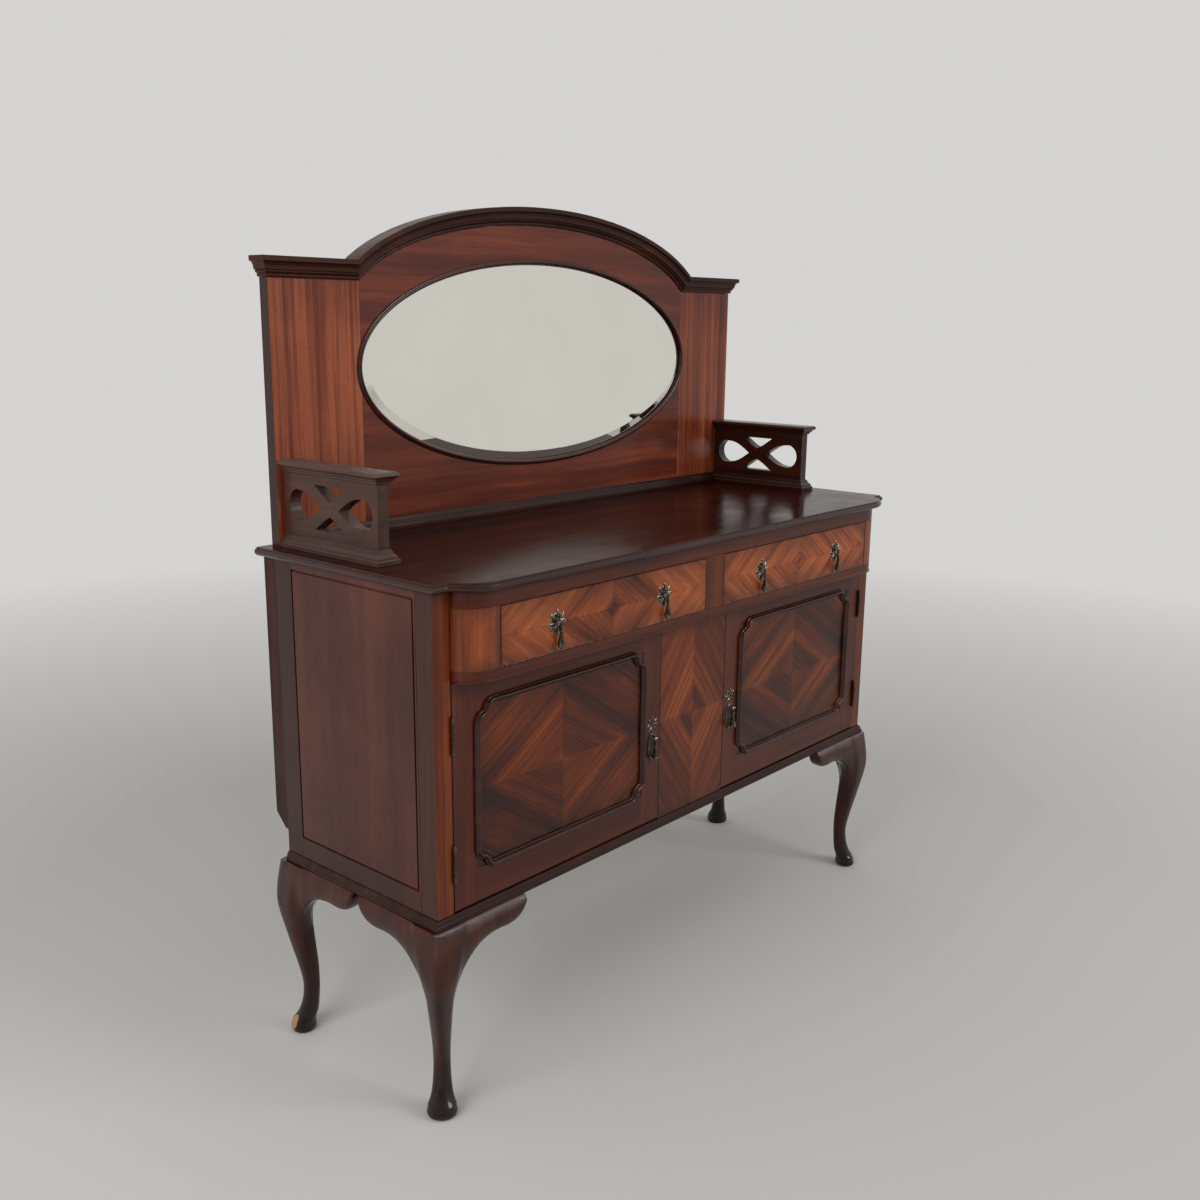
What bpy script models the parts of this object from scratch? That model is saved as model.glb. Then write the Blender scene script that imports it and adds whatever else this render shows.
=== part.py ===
"""Mirror-back sideboard on cabriole legs: two drawers, two doors, fretted galleries and an arched cornice.

Metres, +Z up. X runs along the front, the front faces -Y, and the floor is z = 0.
"""
import math

import bmesh
import bpy
from mathutils import Matrix, Vector

for old_object in list(bpy.data.objects):
    bpy.data.objects.remove(old_object, do_unlink=True)

# Clearances
GAP = 0.0003
REVEAL = 0.0012

# Top board
TOP_WIDTH = 1.384
TOP_DEPTH = 0.510
TOP_HEIGHT = 0.925
TOP_THICK = 0.016
TOP_SIDE_LIP = 0.0165
TOP_FRONT_LIP = 0.020
TOP_BACK_LIP = 0.007

# Carcass
BACK_ROOM = 0.037
BREAK_DEPTH = 0.045
POST_WIDTH = 0.036
POST_DEPTH = 0.040
SIDE_THICK = 0.022
REAR_STILE_WIDTH = 0.044
SIDE_BOTTOM_RAIL = 0.037
SIDE_TOP_RAIL = 0.013
GROOVE_WIDTH = 0.004
GROOVE_DEPTH = 0.004
BACK_THICK = 0.008
BATTEN_WIDTH = 0.050
BATTEN_DEPTH = 0.035
BATTEN_FOOT = 0.041
BATTEN_CHAMFER = 0.026
BATTEN_INSET = 0.001

# Base board and legs
LEG_HEIGHT = 0.346
BASE_THICK = 0.0166
BASE_LIP = 0.008
LEG_RING_POINTS = 16
EAR_LENGTH = 0.197
SIDE_EAR_ROOM = 0.007
EAR_DEPTH = 0.138
EAR_THICK = 0.018
EAR_KNEE = 0.0195
EAR_TIP = 0.0120
LEG_FOOT = 0.0262

# Frieze and drawers
FRIEZE_HEIGHT = 0.1497
FRIEZE_RAIL = 0.0196
FRIEZE_HEAD = 0.0277
ROUND_LENGTH = 0.057
DUST_THICK = 0.012
DIVIDER_WIDTH = 0.0576
DIVIDER_WEB = 0.016
DIVIDER_FRONT = 0.022
GUIDE_HEIGHT = 0.015
GUIDE_WIDTH = 0.020
DRAWER_BAND = 0.010
DRAWER_FRONT_THICK = 0.020
DRAWER_SIDE_THICK = 0.009
DRAWER_BOTTOM_THICK = 0.006
DRAWER_BOTTOM_RAISE = 0.008
DRAWER_BACK_ROOM = 0.012
DRAWER_HEAD_ROOM = 0.004

# Doors and centre panel
DOOR_THICK = 0.020
DOOR_TOP_ROOM = 0.0024
DOOR_BOTTOM_ROOM = 0.0030
PANEL_WIDTH = 0.209
PANEL_STOP = 0.010
PANEL_STOP_THICK = 0.012
DOOR_STILE = 0.052
DOOR_BOTTOM_RAIL = 0.059
DOOR_TOP_RAIL = 0.042
DOOR_PANEL_THICK = 0.012
MOULDING_WIDTH = 0.013
MOULDING_HEIGHT = 0.009
MOULDING_OVERLAP = 0.006
CORNER_CUT = 0.042
HINGE_RADIUS = 0.0035
HINGE_LENGTH = 0.060
HINGE_LEAF_THICK = 0.0008
HINGE_LEAF_WIDTH = 0.015
HINGE_FROM_END = 0.055
HINGE_KNUCKLES = 5
DOOR_PANEL_SINK = 0.001

# Handles
PLATE_THICK = 0.002
PLATE_WIDTH = 0.044
PLATE_HEIGHT = 0.047
PLATE_LEAVES = 8
LEAF_DEPTH = 0.24
DOOR_PLATE_HEIGHT = 0.090
ESCUTCHEON_WIDTH = 0.032
DROP_PLATE_WIDTH = 0.026
DROP_PLATE_HEIGHT = 0.058
KEYHOLE_WIDTH = 0.0036
KEYHOLE_HEIGHT = 0.010
PIVOT_REACH = 0.0082
CHEEK_THICK = 0.0018
BARREL_LENGTH = 0.0042
BARREL_RADIUS = 0.0021
DRAWER_DROP_LENGTH = 0.053
DOOR_DROP_LENGTH = 0.046
DROP_RADIUS = 0.0066
DRAWER_HANDLE_SPREAD = 0.1425
DOOR_HANDLE_INSET = 0.0225
DOOR_HANDLE_DROP = 0.02325
DOOR_PIVOT_FROM_FOOT = 0.048
DRAWER_PIVOT_RISE = 0.0075

# Mirror back
MIRROR_WIDTH = 1.319
MIRROR_THICK = 0.023
WING_HEIGHT = 0.456
ARCH_HALF = 0.4705
ARCH_RISE = 0.119
ARCH_ROUND = 0.071
CORNICE_HEIGHT = 0.0345
OVAL_HALF_WIDTH = 0.480
OVAL_HALF_HEIGHT = 0.208
OVAL_HEIGHT = 0.302
BEAD_WIDTH = 0.011
BEAD_HEIGHT = 0.006
GLASS_LAP = 0.004
GLASS_THICK = 0.006
GLASS_BEVEL = 0.020
GLASS_EDGE = 0.0025
BACKING_THICK = 0.005
BACKING_MARGIN = 0.020
FOOT_MOULD_HEIGHT = 0.023
FOOT_MOULD_DEPTH = 0.013
OVAL_POINTS = 72

# Galleries
GALLERY_THICK = 0.0226
GALLERY_INSET = 0.0472
GALLERY_LENGTH = 0.253
GALLERY_HEIGHT = 0.151
GALLERY_BASE = 0.024
GALLERY_CAP = 0.020
GALLERY_CAP_REACH = 0.0145
GALLERY_SPREAD = 0.013
GALLERY_TENON = 0.006
TEAR_LENGTH = 0.0895
TEAR_HALF_HEIGHT = 0.0275
TEAR_START = 0.0235
TRIANGLE_HALF = 0.042
TRIANGLE_NEAR = 0.0125
TRIANGLE_FAR = 0.0385

SIDES = ((-1, "left"), (1, "right"))

# Places worked out from the sizes
FRONT_Y = -TOP_DEPTH / 2
BACK_Y = TOP_DEPTH / 2
FRIEZE_Y = FRONT_Y + TOP_FRONT_LIP
CASE_FRONT = FRIEZE_Y + BREAK_DEPTH
CASE_BACK = BACK_Y - BACK_ROOM
POST_BACK = CASE_FRONT + POST_DEPTH
CASE_HALF = TOP_WIDTH / 2 - TOP_SIDE_LIP
CASE_BOTTOM = LEG_HEIGHT + BASE_THICK + GAP
CASE_TOP = TOP_HEIGHT - TOP_THICK - GAP
SIDE_EAR_LENGTH = (CASE_BACK - CASE_FRONT) / 2 - SIDE_EAR_ROOM
POST_INNER = CASE_HALF - POST_WIDTH
SIDE_INNER = CASE_HALF - SIDE_THICK
FRIEZE_BOTTOM = CASE_TOP - FRIEZE_HEIGHT
DRAWER_FLOOR = FRIEZE_BOTTOM + FRIEZE_RAIL
FRIEZE_HEAD_BOTTOM = CASE_TOP - FRIEZE_HEAD
ROUND_CENTRE = POST_INNER - GAP - ROUND_LENGTH
DRAWER_OUTER = ROUND_CENTRE - DRAWER_BAND
BACKS_FRONT = CASE_BACK - BACK_THICK
DOOR_OUTER = POST_INNER - REVEAL
DOOR_INNER = PANEL_WIDTH / 2 + REVEAL
DOOR_BOTTOM = CASE_BOTTOM + DOOR_BOTTOM_ROOM
DOOR_TOP = FRIEZE_BOTTOM - DOOR_TOP_ROOM
HINGE_Y = CASE_FRONT - HINGE_RADIUS - GAP
MIRROR_BACK_Y = BACK_Y - TOP_BACK_LIP
MIRROR_FRONT_Y = MIRROR_BACK_Y - MIRROR_THICK
MIRROR_FOOT = TOP_HEIGHT + GAP
WING_Z = TOP_HEIGHT + WING_HEIGHT
OVAL_Z = TOP_HEIGHT + OVAL_HEIGHT


def finish_material(name, colour, roughness, metallic=0.0):
    """Return one Principled material."""
    material = bpy.data.materials.new(name)
    material.use_nodes = True
    shader = material.node_tree.nodes["Principled BSDF"]
    shader.inputs["Base Color"].default_value = (*colour, 1.0)
    shader.inputs["Roughness"].default_value = roughness
    shader.inputs["Metallic"].default_value = metallic
    material.diffuse_color = (*colour, 1.0)
    return material


DARK_MAHOGANY = finish_material("dark_mahogany", (0.060, 0.018, 0.012), 0.28)
RED_MAHOGANY = finish_material("red_mahogany", (0.130, 0.030, 0.015), 0.32)
FLAME_VENEER = finish_material("flame_veneer", (0.200, 0.055, 0.022), 0.26)
TOP_POLISH = finish_material("top_polish", (0.030, 0.010, 0.008), 0.12)
PLAIN_PINE = finish_material("plain_pine", (0.320, 0.190, 0.090), 0.70)
OAK_LINING = finish_material("oak_lining", (0.300, 0.180, 0.085), 0.60)
OLD_BRASS = finish_material("old_brass", (0.130, 0.085, 0.040), 0.42, 1.0)
SILVERED_GLASS = finish_material("silvered_glass", (0.820, 0.840, 0.820), 0.03, 1.0)


def keep(name, bm, material, smooth_angle=None, origin=(0.0, 0.0, 0.0)):
    """Turn a bmesh into a named object whose origin is the given point."""
    bmesh.ops.recalc_face_normals(bm, faces=bm.faces[:])
    bmesh.ops.translate(bm, verts=bm.verts[:], vec=-Vector(origin))
    mesh = bpy.data.meshes.new(name)
    bm.to_mesh(mesh)
    bm.free()
    mesh.materials.append(material)
    if smooth_angle is not None:
        mesh.shade_smooth()
        mesh.set_sharp_from_angle(angle=math.radians(smooth_angle))
    item = bpy.data.objects.new(name, mesh)
    item.location = origin
    bpy.context.scene.collection.objects.link(item)
    return item


def span_box(bm, low, high):
    """Add a box between two corners to a bmesh."""
    low_corner = Vector(low)
    high_corner = Vector(high)
    size = high_corner - low_corner
    place = Matrix.Translation((low_corner + high_corner) / 2) @ Matrix.Diagonal((*size, 1.0))
    return bmesh.ops.create_cube(bm, size=1.0, matrix=place)


def board(name, low, high, material, edge=0.0):
    """Make a plain board between two corners, with its edges eased where a size is given."""
    bm = bmesh.new()
    span_box(bm, low, high)
    item = keep(name, bm, material)
    if edge > 0.0:
        ease = item.modifiers.new("eased_edges", "BEVEL")
        ease.width = edge
        ease.segments = 1
    return item


def mirrored(side, low, high):
    """Return box corners on the left (-1) or right (+1) from sizes given for the right."""
    xs = sorted((side * low[0], side * high[0]))
    return (xs[0], low[1], low[2]), (xs[1], high[1], high[2])


def add_layers(bm, rings):
    """Skin a stack of rings that have equal counts of points, and cap both ends."""
    loops = [[bm.verts.new(point) for point in ring] for ring in rings]
    count = len(loops[0])
    for lower, upper in zip(loops, loops[1:]):
        for index in range(count):
            after = (index + 1) % count
            bm.faces.new((lower[index], lower[after], upper[after], upper[index]))
    bm.faces.new(loops[0])
    bm.faces.new(loops[-1])


def layered(name, rings, material, smooth_angle=None, origin=(0.0, 0.0, 0.0)):
    """Make one object from a stack of rings."""
    bm = bmesh.new()
    add_layers(bm, rings)
    return keep(name, bm, material, smooth_angle, origin)


def add_plate(bm, outline, holes, to_space, thickness):
    """Fill an outline with holes and pull it to a thickness along the third axis of its plane."""
    edges = []
    for loop in [outline] + holes:
        corners = [bm.verts.new(to_space(u, v, 0.0)) for u, v in loop]
        for index, corner in enumerate(corners):
            edges.append(bm.edges.new((corner, corners[(index + 1) % len(corners)])))
    filled = bmesh.ops.triangle_fill(bm, use_beauty=True, edges=edges)
    faces = [item for item in filled["geom"] if isinstance(item, bmesh.types.BMFace)]
    pulled = bmesh.ops.extrude_face_region(bm, geom=faces)
    moved = [item for item in pulled["geom"] if isinstance(item, bmesh.types.BMVert)]
    shift = Vector(to_space(0.0, 0.0, thickness)) - Vector(to_space(0.0, 0.0, 0.0))
    bmesh.ops.translate(bm, verts=moved, vec=shift)


def front_plane(y_place):
    """Map a drawing seen from the front, u to the right and v up, with depth towards the back."""
    return lambda u, v, depth: (u, y_place + depth, v)


def join_boolean(item, other, operation):
    """Cut or unite one object with another, which stays only as a guide."""
    change = item.modifiers.new(operation.lower(), "BOOLEAN")
    change.operation = operation
    change.solver = "EXACT"
    change.object = other
    other.hide_render = True
    other.display_type = "WIRE"


def settle(item, *guides):
    """Apply an object's modifiers and clear away the guides that they used."""
    bpy.context.view_layer.update()
    evaluated = item.evaluated_get(bpy.context.evaluated_depsgraph_get())
    mesh = bpy.data.meshes.new_from_object(evaluated)
    item.modifiers.clear()
    item.data = mesh
    for guide in guides:
        bpy.data.objects.remove(guide, do_unlink=True)


def smooth_curve(points, steps):
    """Return points on a smooth curve that passes through each given point."""
    result = []
    last = len(points) - 1
    for index in range(last):
        before = points[max(index - 1, 0)]
        start = points[index]
        end = points[index + 1]
        after = points[min(index + 2, last)]
        for step in range(steps):
            t = step / steps
            place = []
            for a, b, c, d in zip(before, start, end, after):
                value = 2 * b + (c - a) * t
                value += (2 * a - 5 * b + 4 * c - d) * t * t
                value += (3 * b - a - 3 * c + d) * t * t * t
                place.append(0.5 * value)
            result.append(tuple(place))
    result.append(points[-1])
    return result


def arc(centre, radii, start, end, steps):
    """Return points on an arc between two angles in degrees."""
    points = []
    for step in range(steps + 1):
        angle = math.radians(start + (end - start) * step / steps)
        points.append((centre[0] + radii[0] * math.cos(angle), centre[1] + radii[1] * math.sin(angle)))
    return points


def breakfront_half(lip):
    """Plan of the right half of the front, from the centre line to the post, grown by a lip."""
    centre = ROUND_CENTRE
    radii = (ROUND_LENGTH + lip, BREAK_DEPTH + lip)
    if lip <= 0.004:
        points = arc((centre, CASE_FRONT), radii, -90, 0, 10)
        return [(x, min(y, CASE_FRONT - lip)) for x, y in points]
    meet = math.degrees(math.asin(lip / radii[1]))
    points = arc((centre, CASE_FRONT), radii, -90, -meet - 12, 8)
    crossing = centre + radii[0] * math.cos(math.radians(meet))
    start = points[-1]
    turn = (crossing - 0.001, CASE_FRONT - lip - 0.002)
    end = (crossing + 0.011, CASE_FRONT - lip)
    for step in range(1, 5):
        t = step / 4
        x = (1 - t) ** 2 * start[0] + 2 * t * (1 - t) * turn[0] + t * t * end[0]
        y = (1 - t) ** 2 * start[1] + 2 * t * (1 - t) * turn[1] + t * t * end[1]
        points.append((x, y))
    return points


def breakfront_ring(lip, half_width, back_y, z):
    """A full plan ring with the shaped front, straight sides and a straight back."""
    right = breakfront_half(lip)
    right.append((half_width, CASE_FRONT - lip))
    left = [(-x, y) for x, y in reversed(right)]
    plan = left + right + [(half_width, back_y), (-half_width, back_y)]
    return [(x, y, z) for x, y in plan]


def build_top_board():
    """Top board with a fillet and a thumb edge that follows the shaped front."""
    edge = [(0.0080, 0.0), (0.0038, 0.0018), (0.0010, 0.0048), (0.0, 0.0080), (0.0008, 0.0112),
            (0.0030, 0.0134), (0.0048, 0.0138), (0.0048, TOP_THICK)]
    rings = []
    for inset, rise in edge:
        lip = TOP_FRONT_LIP - inset
        half = TOP_WIDTH / 2 - inset
        rings.append(breakfront_ring(lip, half, BACK_Y, TOP_HEIGHT - TOP_THICK + rise))
    layered("top_board", rings, TOP_POLISH, 40)


def build_posts():
    """Front corner posts, from the base board to the top."""
    for side, word in SIDES:
        low, high = mirrored(side, (POST_INNER, CASE_FRONT, CASE_BOTTOM),
                             (CASE_HALF, POST_BACK, CASE_TOP))
        board("corner_post_" + word, low, high, FLAME_VENEER, 0.0008)


def build_sides():
    """Framed sides: a flush panel set off from its frame by a sunk groove on the outer face."""
    front = POST_BACK + GAP
    panel_back = CASE_BACK - REAR_STILE_WIDTH
    panel_bottom = CASE_BOTTOM + SIDE_BOTTOM_RAIL
    panel_top = CASE_TOP - SIDE_TOP_RAIL
    panel_front = front + GROOVE_WIDTH
    for side, word in SIDES:
        low, high = mirrored(side, (SIDE_INNER, front, CASE_BOTTOM), (CASE_HALF, CASE_BACK, CASE_TOP))
        item = board("side_" + word, low, high, DARK_MAHOGANY)
        bm = bmesh.new()
        outer = [(panel_front, panel_bottom), (panel_back, panel_bottom),
                 (panel_back, panel_top), (panel_front, panel_top)]
        inner = [(panel_front + GROOVE_WIDTH, panel_bottom + GROOVE_WIDTH),
                 (panel_back - GROOVE_WIDTH, panel_bottom + GROOVE_WIDTH),
                 (panel_back - GROOVE_WIDTH, panel_top - GROOVE_WIDTH),
                 (panel_front + GROOVE_WIDTH, panel_top - GROOVE_WIDTH)]
        start = side * (CASE_HALF - GROOVE_DEPTH)
        add_plate(bm, outer, [inner], lambda u, v, depth: (start + side * depth, u, v), 2 * GROOVE_DEPTH)
        cutter = keep("groove_cutter_" + word, bm, DARK_MAHOGANY)
        join_boolean(item, cutter, "DIFFERENCE")
        settle(item, cutter)


def build_base_board():
    """Cupboard floor, whose edge is moulded with two beads on the front and sides."""
    edge = [(0.0010, 0.0), (0.0, 0.0020), (0.0, 0.0050), (0.0022, 0.0064), (0.0022, 0.0076),
            (0.0030, 0.0090), (0.0030, 0.0120), (0.0050, 0.0135), (0.0064, BASE_THICK)]
    rings = []
    for inset, rise in edge:
        half = CASE_HALF + BASE_LIP - inset
        front = CASE_FRONT - BASE_LIP + inset
        z = LEG_HEIGHT + rise
        rings.append([(-half, front, z), (half, front, z), (half, CASE_BACK, z), (-half, CASE_BACK, z)])
    layered("base_board", rings, DARK_MAHOGANY)


def leg_rings():
    """Rings of one cabriole leg about its corner, with the knee towards +U and +V."""
    foot = LEG_FOOT
    stations = [
        (0.000, -0.48, 0.82, 0.73, 2.0), (0.009, -0.45, 0.96, 0.86, 2.0), (0.029, -0.44, 1.00, 0.90, 2.0),
        (0.046, -0.46, 0.93, 0.83, 2.0), (0.055, -0.46, 0.96, 0.86, 2.0), (0.075, -0.60, 0.83, 0.77, 2.1),
        (0.122, -0.88, 0.66, 0.66, 2.2), (0.188, -1.05, 0.57, 0.57, 2.3), (0.275, -1.12, 0.53, 0.55, 2.5),
        (0.376, -0.98, 0.56, 0.65, 2.7), (0.492, -0.71, 0.65, 0.77, 2.9), (0.622, -0.42, 0.78, 0.90, 3.2),
        (0.752, -0.28, 1.03, 1.06, 4.0), (0.868, -0.52, 1.21, 1.16, 5.0), (1.000, -1.03, 1.32, 1.26, 6.0),
    ]
    rings = []
    for share, out, across, along, power in stations:
        ring = []
        for index in range(LEG_RING_POINTS):
            angle = 2 * math.pi * (index + 0.5) / LEG_RING_POINTS
            cosine = math.cos(angle)
            sine = math.sin(angle)
            reach = (abs(cosine) ** power + abs(sine) ** power) ** (-1 / power)
            u = reach * cosine
            v = reach * sine
            diagonal = ((u + v) / math.sqrt(2) * along + out) * foot
            sideways = (u - v) / math.sqrt(2) * across * foot
            ring.append(((diagonal + sideways) / math.sqrt(2), (diagonal - sideways) / math.sqrt(2),
                         share * (LEG_HEIGHT - GAP)))
        rings.append(ring)
    return rings


def ear_rings(length, place):
    """A knee bracket in slices from inside the leg to its tip, with a swelling face and a shaped lower edge.

    The place turns a distance along the rail, a distance out from the case and a depth below the base
    board into a point.
    """
    edge = [(0.06, 0.66), (0.24, 0.60), (0.33, 0.46), (0.44, 0.37), (0.55, 0.33), (0.66, 0.32), (0.77, 0.33),
            (0.88, 0.30), (0.96, 0.21), (1.00, 0.09)]
    section = [(0.52, 0.0), (0.88, 0.18), (1.0, 0.42), (0.92, 0.76), (0.66, 1.0)]
    rings = []
    for along, drop in edge:
        reach = EAR_KNEE + (EAR_TIP - EAR_KNEE) * min(along / 0.6, 1.0)
        depth = drop * EAR_DEPTH
        ring = [place(along * length, reach * out, depth * down) for out, down in section]
        ring.append(place(along * length, -EAR_THICK, depth))
        ring.append(place(along * length, -EAR_THICK, 0.0))
        rings.append(ring)
    return rings


def build_legs():
    """Four cabriole legs with pad feet. Each carries its knee brackets."""
    rings = leg_rings()
    top = LEG_HEIGHT - GAP
    for side, side_word in SIDES:
        for end, end_word, corner_y in ((-1, "front", CASE_FRONT), (1, "rear", CASE_BACK)):
            name = "leg_" + end_word + "_" + side_word
            placed = [[(side * (CASE_HALF + u), corner_y + end * v, z) for u, v, z in ring] for ring in rings]
            leg = layered(name, placed, DARK_MAHOGANY)
            ears = [ear_rings(SIDE_EAR_LENGTH, lambda along, out, down: (
                side * (CASE_HALF + out), corner_y - end * along, top - down))]
            if end < 0:
                ears.append(ear_rings(EAR_LENGTH, lambda along, out, down: (
                    side * (CASE_HALF - along), CASE_FRONT - out, top - down)))
            guides = []
            for ear in ears:
                guide = layered(name + "_ear_guide", ear, DARK_MAHOGANY)
                join_boolean(leg, guide, "UNION")
                guides.append(guide)
            settle(leg, *guides)
            leg.data.shade_smooth()
            leg.data.set_sharp_from_angle(angle=math.radians(45))


def build_frieze():
    """Rails, rounded ends and the divider that form the projecting frieze."""
    reach = POST_INNER - GAP
    rail_back = POST_BACK
    rail = []
    for lip, rise in ((0.0, 0.0), (0.0018, 0.0012), (0.0018, 0.0042), (0.0, 0.0054), (0.0, FRIEZE_RAIL)):
        half = [(min(x, reach), y) for x, y in breakfront_half(lip)]
        plan = [(-x, y) for x, y in reversed(half)] + half + [(reach, rail_back), (-reach, rail_back)]
        rail.append([(x, y, FRIEZE_BOTTOM + rise) for x, y in plan])
    layered("frieze_rail", rail, FLAME_VENEER, 40)
    half = breakfront_half(0.0)
    plan = [(-x, y) for x, y in reversed(half)] + half + [(reach, rail_back), (-reach, rail_back)]
    head = [[(x, y, z) for x, y in plan] for z in (FRIEZE_HEAD_BOTTOM, CASE_TOP)]
    layered("frieze_head_rail", head, FLAME_VENEER, 40)
    for side, word in SIDES:
        block = [(side * x, y) for x, y in half]
        block.append((side * reach, rail_back))
        block.append((side * (DRAWER_OUTER + REVEAL), rail_back))
        block.append((side * (DRAWER_OUTER + REVEAL), FRIEZE_Y))
        levels = (DRAWER_FLOOR + GAP, FRIEZE_HEAD_BOTTOM - GAP)
        layered("frieze_end_" + word, [[(x, y, z) for x, y in block] for z in levels], FLAME_VENEER, 40)


def build_drawer_housing():
    """Divider, dust board and guides that carry and steer the drawers."""
    low = DRAWER_FLOOR + GAP
    high = FRIEZE_HEAD_BOTTOM - GAP
    inner_half = DIVIDER_WIDTH / 2 - REVEAL
    web = DIVIDER_WEB / 2
    back = BACKS_FRONT - GAP
    dust_front = POST_BACK + GAP
    bm = bmesh.new()
    span_box(bm, (-inner_half, FRIEZE_Y, low), (inner_half, FRIEZE_Y + DIVIDER_FRONT, high))
    divider = keep("drawer_divider", bm, FLAME_VENEER)
    bm = bmesh.new()
    section = [(-inner_half, low), (inner_half, low), (inner_half, low + GUIDE_HEIGHT),
               (web, low + GUIDE_HEIGHT), (web, high), (-web, high),
               (-web, low + GUIDE_HEIGHT), (-inner_half, low + GUIDE_HEIGHT)]
    start = FRIEZE_Y + DIVIDER_FRONT / 2
    add_plate(bm, section, [], front_plane(start), back - start)
    web_guide = keep("divider_web_guide", bm, FLAME_VENEER)
    join_boolean(divider, web_guide, "UNION")
    settle(divider, web_guide)
    reach = SIDE_INNER - GAP
    board("dust_board", (-reach, dust_front, DRAWER_FLOOR - DUST_THICK), (reach, back, DRAWER_FLOOR), PLAIN_PINE)
    for side, word in SIDES:
        near = DRAWER_OUTER + REVEAL
        corners = mirrored(side, (near, dust_front, low), (near + GUIDE_WIDTH, back, low + GUIDE_HEIGHT))
        board("drawer_guide_" + word, *corners, PLAIN_PINE)


def build_centre_panel():
    """Fixed panel between the doors, stepped at the back so that both doors close against it."""
    half = PANEL_WIDTH / 2
    front = CASE_FRONT
    step = front + DOOR_THICK + GAP
    back = step + PANEL_STOP_THICK
    wide = half + PANEL_STOP
    plan = [(-half, front), (half, front), (half, step), (wide, step), (wide, back), (-wide, back),
            (-wide, step), (-half, step)]
    rings = [[(x, y, z) for x, y in plan] for z in (CASE_BOTTOM, FRIEZE_BOTTOM - GAP)]
    layered("centre_panel", rings, FLAME_VENEER)


def build_backs():
    """Thin back of the carcass and the two battens that stand behind it."""
    reach = SIDE_INNER - GAP
    board("carcass_back", (-reach, BACKS_FRONT, CASE_BOTTOM), (reach, CASE_BACK, CASE_TOP), PLAIN_PINE)
    near = CASE_BACK + GAP
    far = near + BATTEN_DEPTH
    outer = CASE_HALF - BATTEN_INSET
    foot = CASE_BOTTOM + BATTEN_FOOT
    profile = [(near, foot), (far - BATTEN_CHAMFER, foot), (far, foot + BATTEN_CHAMFER),
               (far, CASE_TOP), (near, CASE_TOP)]
    for side, word in SIDES:
        rings = [[(side * x, y, z) for y, z in profile] for x in (outer - BATTEN_WIDTH, outer)]
        layered("back_batten_" + word, rings, DARK_MAHOGANY)


def moulding_path(left, right, bottom, top):
    """Outline of a door moulding: straight sides, and at each corner two arcs that meet in a small cusp."""
    cut = CORNER_CUT
    radius = cut / 2
    shape = arc((-radius, -cut), (radius, radius), 0, 80, 4)
    shape += arc((-cut, -radius), (radius, radius), 10, 90, 4)
    points = []
    for sign_x, sign_y, edge_x, edge_y in ((1, 1, right, top), (-1, 1, left, top),
                                           (-1, -1, left, bottom), (1, -1, right, bottom)):
        turned = [(edge_x + sign_x * x, edge_y + sign_y * y) for x, y in shape]
        if sign_x * sign_y < 0:
            turned.reverse()
        points.extend(turned)
    return points


def offset_loop(points, distance):
    """Move a closed outline inwards by a distance, with mitred corners. It runs anticlockwise."""
    result = []
    count = len(points)
    for index, point in enumerate(points):
        before = Vector(points[index - 1])
        here = Vector(point)
        after = Vector(points[(index + 1) % count])
        inward_a = (here - before).normalized()
        inward_b = (after - here).normalized()
        normal_a = Vector((-inward_a.y, inward_a.x))
        normal_b = Vector((-inward_b.y, inward_b.x))
        bisector = normal_a + normal_b
        scale = distance / max(bisector.dot(normal_a), 0.5)
        moved = here + bisector * scale
        result.append((moved.x, moved.y))
    return result


def swept_frame(name, outline, profile, y_face, material, smooth_angle, origin):
    """Sweep a profile round a closed outline that lies flat on a front face.

    The profile's points are (distance inwards from the outline, height in front of the face).
    """
    bm = bmesh.new()
    loops = []
    for inward, height in profile:
        ring = offset_loop(outline, inward)
        loops.append([bm.verts.new((x, y_face - height, z)) for x, z in ring])
    count = len(outline)
    for level in range(len(loops)):
        near = loops[level]
        far = loops[(level + 1) % len(loops)]
        for index in range(count):
            after = (index + 1) % count
            bm.faces.new((near[index], near[after], far[after], far[index]))
    return keep(name, bm, material, smooth_angle, origin)


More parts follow.
